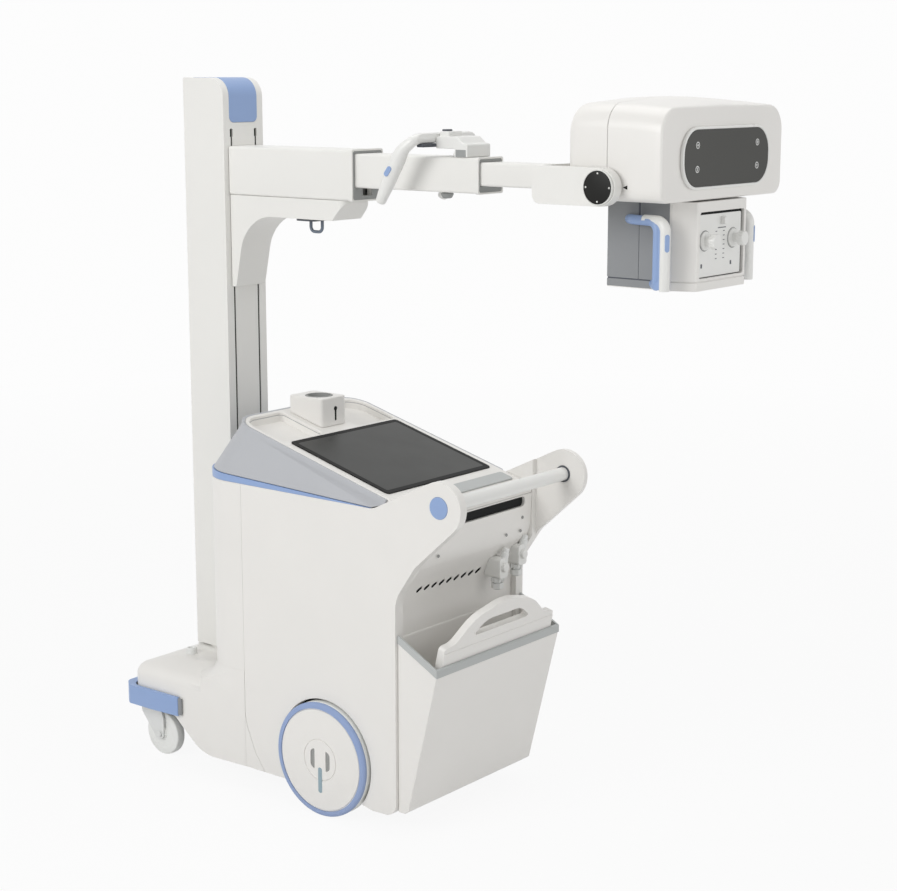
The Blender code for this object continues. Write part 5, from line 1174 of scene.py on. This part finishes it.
def makeBin(v):
    shell = copyNode("detector_bin")
    for vert in shell.verts:
        vert.co.z = max(vert.co.z, v["bottom"])
    addPiece("detectorBin", shell, "power_unit", "bodyPaint", ["detector_bin"], 0.0022, 3, 40)
    addPiece("binRim", copyNode("bin_rim"), "power_unit", "rimPlastic", ["bin_rim"], 0.0016,
             3, 40)
    half, top, thick = v["half"], v["height"], v["thick"]
    arch = top + v["rise"]
    rows = [(-half, 0, 0.006), (half, 0, 0.006), (half, top, 0.010), (0.186, top + 0.002, 0.050),
            (0.120, arch - 0.016, 0.120), (0, arch + 0.012, 0.160), (-0.120, arch - 0.016, 0.120),
            (-0.186, top + 0.002, 0.050), (-half, top, 0.010)]
    slot = slab([(-0.118, top + 0.010, 0.006), (0.118, top + 0.010, 0.006), (0.070, top + 0.044, 0.060),
                 (-0.070, top + 0.044, 0.060)], "Y", -0.1, 0.1)
    step = block("Y", -0.3, 0.3, top - 0.014, top + 0.2, -0.1, -thick / 2 + v["step"])
    plate = combine(slab(rows, "Y", -thick / 2, thick / 2), [slot, step])
    plate.transform(Matrix.Translation((0, v["footY"], v["footZ"])) @ Matrix.Rotation(v["lean"], 4, "X"))
    addPiece("flatDetector", plate, "detector", "bodyPaint", ["flat_detector"], 0.0022, 3, 40)


makeBin(binValues)
print("wall and bin made")


# Console

consoleValues = {"refZ": 0.846, "refY": -0.203, "slope": 0.2706, "baseHalf": 0.258, "topHalf": 0.236,
                 "frontY": -0.160, "backY": 0.336, "bandRear": 0.8295, "bandFront": 0.852,
                 "lidThick": 0.008, "screenHalf": 0.207, "screenFront": -0.172, "screenBack": 0.156,
                 "screenProud": 0.003, "frameWidth": 0.014, "trayDepth": 0.026, "trayNear": 0.068,
                 "trayFar": 0.219, "trayFront": 0.168, "trayBack": 0.316, "trayCorner": 0.014,
                 "trayRound": 0.050, "dockHalf": 0.048, "dockFront": 0.192, "dockBack": 0.310,
                 "dockTop": 1.030, "wellY": 0.245, "wellRadius": 0.036, "wellDepth": 0.032}


def makeConsole(v):
    def onTop(drop=0.0):
        return lambda at: Vector((at.x, at.y, v["refZ"] + v["slope"] * (at.y - v["refY"]) + drop))

    def onBand(drop=0.0):
        rise = (v["bandFront"] - v["bandRear"]) / (0.458 - v["frontY"])
        return lambda at: Vector((at.x, at.y, v["bandRear"] + rise * (at.y - v["frontY"]) + drop))

    def sloped(rows, low, high):
        return stacked([(rows, onTop(low), None), (rows, onTop(high), None)])

    def trayRows(sign, inset=0.0):
        near, far = sign * (v["trayNear"] + inset), sign * (v["trayFar"] - inset)
        low, high, small = v["trayFront"] + inset, v["trayBack"] - inset, v["trayCorner"] - inset
        rows = [(near, low, small), (far, low, small), (far, high, v["trayRound"] - inset),
                (near, high, small)]
        return rows[::sign]
    trays = [trayRows(sign) for sign in (-1, 1)]
    footPlan = planRows(v["baseHalf"], 0.454, 0.120, v["frontY"])
    shoulderPlan = planRows(v["topHalf"] + 0.0020, v["backY"] + 0.003, 0.072, -0.186)
    rimPlan = planRows(v["topHalf"], v["backY"], 0.066, -0.190)
    side = stacked([(footPlan, onBand(), 16), (shoulderPlan, onTop(-v["lidThick"] - 0.006), 16),
                    (rimPlan, onTop(-0.0010), 16)])
    lidPlan = [(-0.2285, -0.5, 0), (0.2285, -0.5, 0), (0.2285, 0.3275, 0.060), (-0.2285, 0.3275, 0.060)]
    roomPlan = [(u * 1.0022, w + (0.0005 if w > 0 else 0), r) for u, w, r in lidPlan]
    lidRoom = stacked([(roomPlan, onTop(-v["lidThick"] - 0.0003), 12), (roomPlan, onTop(0.05), 12)])
    side = combine(side, [lidRoom])
    side = combine(side, [sloped(rows, -v["trayDepth"] - 0.001, 0.05) for rows in trays])
    addPiece("consoleSide", side, "power_unit", "greyPlastic", ["console_base"], 0.0018, 3,
             40)
    bandPlan = planRows(0.260, 0.458, 0.120, v["frontY"])
    band = stacked([(bandPlan, level(0.8283), 16), (bandPlan, onBand(-0.0012), 16)])
    addPiece("trimBand", band, "power_unit", "bluePlastic", ["trim_band"], 0.0008, 2, 50)
    profile = [(0.329, 0.9900, 0), (-0.262, v["refZ"] + v["slope"] * (-0.262 - v["refY"]), 0.020),
               (-0.2875, 0.812, 0.010), (-0.2875, 0.8005, 0), (-0.240, 0.8005, 0), (-0.180, 0.822, 0),
               (-0.161, 0.826, 0), (-0.160, 0.8496, 0), (0.329, 0.9819, 0)]
    lid = combine(slab(profile, "X", -0.24, 0.24), [slab(lidPlan, "Z", 0.7, 1.1)], "INTERSECT")
    lid = combine(lid, [sloped(rows, -0.05, 0.05) for rows in trays])
    addPiece("consoleTop", lid, "power_unit", "bodyPaint", ["console_top"], 0.0024, 4, 50)
    for label, sign in (("Left", -1), ("Right", 1)):
        lining = combine(sloped(trayRows(sign, -0.0005), -v["trayDepth"] - 0.0005, -v["lidThick"] - 0.0003),
                         [sloped(trayRows(sign, 0.0015), -v["trayDepth"] + 0.0015, 0.02)])
        addPiece("trayLining" + label, lining, "power_unit", "bodyPaint", soften=0.0010,
                 segments=2, limit=50)
    half, low, high = v["screenHalf"], v["screenFront"], v["screenBack"]
    edge = v["frameWidth"]
    border = combine(sloped(boxRows(-half, half, low, high, 0.010), -0.0035, v["screenProud"]),
                     [sloped(boxRows(-half + edge, half - edge, low + edge, high - edge, 0.006),
                             v["screenProud"] - 0.0006, 0.05)])
    addPiece("screenFrame", border, "power_unit", "frameBlack", ["touch_screen"], 0.0015, 3, 50)
    paneRows = boxRows(-half + edge + 0.0001, half - edge - 0.0001, low + edge + 0.0001,
                       high - edge - 0.0001, 0.006)
    pane = sloped(paneRows, v["screenProud"] - 0.0008, v["screenProud"] - 0.0002)
    addPiece("screenPane", pane, "power_unit", "screenGlass")
    addPiece("wristRest", sloped(boxRows(-0.205, 0.205, -0.247, -0.205, 0.008), hairline, 0.004),
             "power_unit", "rimPlastic", ["wrist_rest"], 0.0015, 3, 50)
    dockRows = boxRows(-v["dockHalf"], v["dockHalf"], v["dockFront"], v["dockBack"], 0.010)
    dock = stacked([(dockRows, onTop(hairline), None), (dockRows, level(v["dockTop"]), None)])
    well = rod(v["wellRadius"], v["dockTop"] - v["wellDepth"], v["dockTop"] + 0.02, "Z", (0, v["wellY"], 0),
               64)
    addPiece("dockBlock", combine(dock, [well]), "power_unit", "bodyPaint", ["dock_block"], 0.0035,
             4, 50)
    floor = v["dockTop"] - v["wellDepth"]
    liner = turned([(0, floor + hairline, 0), (v["wellRadius"] - hairline, floor + hairline, 0),
                    (v["wellRadius"] - hairline, v["dockTop"] + 0.0008, 0.0008),
                    (v["wellRadius"] - 0.005, v["dockTop"] + 0.0008, 0.0008),
                    (v["wellRadius"] - 0.005, floor + 0.004, 0.003), (0, floor + 0.004, 0)], "Z",
                   (0, v["wellY"], 0), 64)
    addPiece("dockLiner", liner, "power_unit", "linerGrey", ["dock_liner"])
    # The keyhole is a flat dark mark: painted shade standing for its hole.
    keyhole = turned([(0, v["dockFront"] - 0.0006, 0), (0.0060, v["dockFront"] - 0.0006, 0.0003),
                      (0.0060, v["dockFront"] + 0.001, 0), (0, v["dockFront"] + 0.001, 0)], "Y",
                     (0.006, 0, 0.999), 24)
    leg = block("Y", 0.0030, 0.0090, 0.967, 0.998, v["dockFront"] - 0.0005, v["dockFront"] + 0.001, 0.0022)
    addPiece("dockKeyhole", joined(keyhole, leg), "power_unit", "paintedShadeBlack")


makeConsole(consoleValues)
print("console made")


# Wheels and castors

wheelValues = {"radius": 0.150, "width": 0.040, "faceX": 0.280, "tyre": 0.0145, "emboss": 0.054,
               "treadWidth": 0.012, "slotDepth": 0.004, "hollowOut": 0.104, "hollowIn": 0.036,
               "slotNear": 0.019, "slotFar": 0.033, "slotTall": 0.029, "slotShort": 0.020,
               "slotCorner": 0.003, "slotRound": 0.010, "boreRadius": 0.0125, "boreReach": 0.02,
               "boreStop": 0.012}


def makeWheel(side, sign):
    v = wheelValues
    half, radius, rim = v["width"] / 2, v["radius"], v["radius"] - v["tyre"]
    centre = Vector((sign * (v["faceX"] - half), 0, radius))
    body = "rear_wheel_" + side
    inner = half - v["treadWidth"]
    treadRows = [(rim, inner, 0), (radius, inner, 0.002), (radius, half - 0.002, 0.007),
                 (radius - 0.008, half, 0.002), (rim, half, 0)]
    drumRows = [(rim, -half, 0), (radius - 0.0006, -half, 0.003), (radius - 0.0006, inner - hairline, 0.0005),
                (rim, inner - hairline, 0)]
    tread = turned([(r, sign * h, bend) for r, h, bend in treadRows], "X", centre, 120)
    drum = turned([(r, sign * h, bend) for r, h, bend in drumRows], "X", centre, 120)
    addPiece("rearDrum" + side.title(), drum, body, "paleTread")
    addPiece("rearTyre" + side.title(), tread, body, "blueTread", ["rear_tyre_" + side])
    face = half - 0.0008
    rows = [(0, face, 0), (v["emboss"] - 0.0014, face, 0), (v["emboss"] - 0.0006, face - 0.0020, 0),
            (v["emboss"] + 0.0006, face - 0.0020, 0), (v["emboss"] + 0.0014, face, 0),
            (rim - 0.0035, face, 0.001), (rim - 0.0022, face - 0.0022, 0), (rim - 0.0003, face - 0.0022, 0),
            (rim - 0.0003, -half + 0.002, 0), (v["hollowOut"] + 0.006, -half + 0.002, 0.002),
            (v["hollowOut"], -half + 0.014, 0.002), (v["hollowIn"], -half + 0.014, 0.002),
            (v["hollowIn"], -half + 0.002, 0.002), (0, -half + 0.002, 0)]
    disc = turned([(r, sign * h, bend) for r, h, bend in rows], "X", centre, 96)
    # Two slots beside the middle, straight inside and round outside.
    tools, slotShades = [], []
    floor = face - v["slotDepth"]
    for end in (-1, 1):
        for inset, low, high, bucket in ((0.0, floor, face + spare, tools),
                                         (0.0003, floor + 0.0003, floor + 0.0015, slotShades)):
            near, far = end * (v["slotNear"] + inset), end * (v["slotFar"] - inset)
            tall, short = v["slotTall"] - inset, v["slotShort"] - inset
            small, large = v["slotCorner"], v["slotRound"]
            rows = [(near, radius - tall, small), (far, radius - short, large),
                    (far, radius + short, large), (near, radius + tall, small)]
            bucket.append(slab(rows, "X", *span(centre.x + sign * low, centre.x + sign * high)))
    near, far = span(-sign * (half + v["boreReach"]), sign * (half - v["boreStop"]))
    axle = rod(v["boreRadius"], near, far, "X", centre, 32)
    addPiece("rearHub" + side.title(), combine(disc, [*tools, axle]), body, "bodyPaint",
             ["rear_hub_" + side], 0.0003, 1, 50)
    # Grey sheets on the slot floors: painted shade in the slots.
    addPiece("hubSlotShade" + side.title(), joined(*slotShades), body, "linerGrey")
    low, high = span(centre.x + sign * (face - 0.001), centre.x + sign * (half - 0.0001))
    bar = block("X", -0.0066, 0.0066, radius - 0.088, radius - 0.020, low, high, 0.0062)
    addPiece("brakeBar" + side.title(), bar, body, "barGrey", soften=0.0004, segments=1)


castorValues = {"x": 0.213, "swivelY": 0.680, "trail": 0.035, "radius": 0.0625, "width": 0.030, "pin": 0.0064}


def makeCastor(side, sign):
    v = castorValues
    half, radius = v["width"] / 2, v["radius"]
    centre = (sign * v["x"], v["swivelY"] - v["trail"], radius)
    edge = [(v["pin"], half + 0.003, 0), (0.018, half + 0.003, 0.0015), (0.0195, half - 0.001, 0.001),
            (0.040, half - 0.001, 0.002), (0.043, half, 0.001), (radius - 0.0015, half - 0.0015, 0.004)]
    rows = edge + [(radius, 0, 0.03)] + [(r, -h, bend) for r, h, bend in edge[::-1]]
    addPiece("castorWheel" + side.title(), turned(rows, "X", centre, 72), "castor_roll_" + side,
             "paleTread", ["castor_wheel_" + side])
    fork = copyNode("castor_fork_" + side)
    addPiece("castorFork" + side.title(), fork, "castor_" + side, "forkPlastic",
             ["castor_fork_" + side], 0.0016, 3, 40)
    for end in (-1, 1):
        face = centre[0] + end * (half + 0.0120)
        low, high = span(face, face + end * 0.0012)
        pin = turned([(0, low, 0), (0.0080, low, 0.0004), (0.0080, high, 0.0004), (0, high, 0)], "X",
                     (0, centre[1], centre[2]), 28)
        name = "castorPin" + side.title() + ("In" if end * sign < 0 else "Out")
        addPiece(name, pin, "castor_" + side, "forkPlastic")


bothSides(makeWheel)
bothSides(makeCastor)

# Hidden and structural CAD nodes keep their shape and get a finish of their own.
keptFinishes = {"chassis_tray": "paintedSteel", "drive_unit_left": "paintedSteel",
                "drive_unit_right": "paintedSteel", "power_block": "batteryCase", "tube_port": "slate"}
for node, finish in keptFinishes.items():
    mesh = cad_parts[node].data
    mesh.materials.clear()
    mesh.materials.append(finishes[finish])
print("wheels made")


# Floor, light and camera

studioValues = {"ambient": 0.42, "floorShare": 0.94, "fillPower": 3.6, "keyPower": 90.0, "topPower": 42.0,
                "backPower": 26.0, "eye": (-3.6152, -2.9811, 1.8682), "turn": -51.143, "dip": 11.209,
                "focal": 1882.82, "frameWidth": 897}


def makeStudio(v):
    world = bpy.data.worlds.new("studio")
    bpy.context.scene.world = world
    world.use_nodes = True
    tree = world.node_tree
    tree.nodes.clear()
    paths = tree.nodes.new("ShaderNodeLightPath")
    seen = mathNode(tree, "MAXIMUM", paths.outputs["Is Camera Ray"],
                    mathNode(tree, "MAXIMUM", paths.outputs["Is Glossy Ray"],
                             paths.outputs["Is Transmission Ray"]))
    soft, plain = tree.nodes.new("ShaderNodeBackground"), tree.nodes.new("ShaderNodeBackground")
    soft.inputs["Color"].default_value = (1.0, 1.0, 1.0, 1.0)
    soft.inputs["Strength"].default_value = v["ambient"]
    plain.inputs["Color"].default_value = (0.98, 0.98, 0.98, 1.0)
    plain.inputs["Strength"].default_value = 1.0
    mix, out = tree.nodes.new("ShaderNodeMixShader"), tree.nodes.new("ShaderNodeOutputWorld")
    tree.links.new(seen, mix.inputs["Fac"])
    tree.links.new(soft.outputs[0], mix.inputs[1])
    tree.links.new(plain.outputs[0], mix.inputs[2])
    tree.links.new(mix.outputs[0], out.inputs["Surface"])

    floorMesh = bpy.data.meshes.new("floor")
    work = bmesh.new()
    bmesh.ops.create_grid(work, x_segments=1, y_segments=1, size=60)
    work.to_mesh(floorMesh)
    work.free()
    floor = bpy.data.objects.new("floor", floorMesh)
    bpy.context.scene.collection.objects.link(floor)
    pale = bpy.data.materials.new("paleFloor")
    pale.use_nodes = True
    tree = pale.node_tree
    shader = tree.nodes["Principled BSDF"]
    shader.inputs["Base Color"].default_value = (0.90, 0.90, 0.90, 1.0)
    shader.inputs["Roughness"].default_value = 0.9
    shader.inputs["Specular IOR Level"].default_value = 0.1
    glow = tree.nodes.new("ShaderNodeEmission")
    glow.inputs["Color"].default_value = (0.98, 0.98, 0.98, 1.0)
    paths = tree.nodes.new("ShaderNodeLightPath")
    # The floor melts into the backdrop away from the machine.
    reach = tree.nodes.new("ShaderNodeVectorMath")
    reach.operation = "LENGTH"
    tree.links.new(tree.nodes.new("ShaderNodeTexCoord").outputs["Object"], reach.inputs[0])
    melt = rangeNode(tree, reach.outputs["Value"], 1.5, 7.0, v["floorShare"], 1.0)
    share = mathNode(tree, "MULTIPLY", mathNode(tree, "MAXIMUM", paths.outputs["Is Camera Ray"],
                                                paths.outputs["Is Glossy Ray"]), melt)
    mix = tree.nodes.new("ShaderNodeMixShader")
    tree.links.new(share, mix.inputs["Fac"])
    tree.links.new(shader.outputs[0], mix.inputs[1])
    tree.links.new(glow.outputs[0], mix.inputs[2])
    tree.links.new(mix.outputs[0], tree.nodes["Material Output"].inputs["Surface"])
    floorMesh.materials.append(pale)

    lights = [("key", (-4.2, 0.6, 3.0), (0, 0, 0.9), 2.6, v["keyPower"]),
              ("top", (0.4, 0.0, 4.6), (0, 0, 0.9), 3.2, v["topPower"]),
              ("back", (1.6, -4.2, 2.4), (0, 0, 0.9), 2.6, v["backPower"]),
              ("fill", (-0.7, -2.4, 1.6), (0, -0.95, 1.6), 0.8, v["fillPower"])]
    for name, place, goal, size, power in lights:
        data = bpy.data.lights.new(name, "AREA")
        data.shape, data.size, data.energy = "DISK", size, power
        lamp = bpy.data.objects.new(name, data)
        bpy.context.scene.collection.objects.link(lamp)
        lamp.location = place
        lamp.rotation_euler = (Vector(goal) - Vector(place)).to_track_quat("-Z", "Y").to_euler()

    data = bpy.data.cameras.new("camera")
    data.sensor_width = 36
    data.sensor_fit = "HORIZONTAL"
    data.lens = v["focal"] * 36 / v["frameWidth"]
    camera = bpy.data.objects.new("camera", data)
    bpy.context.scene.collection.objects.link(camera)
    camera.location = v["eye"]
    camera.rotation_euler = (math.radians(90 - v["dip"]), 0, math.radians(v["turn"]))
    bpy.context.scene.camera = camera
    bpy.context.scene.view_settings.view_transform = "Standard"


makeStudio(studioValues)
print("floor, light and camera set")

bpy.context.view_layer.update()
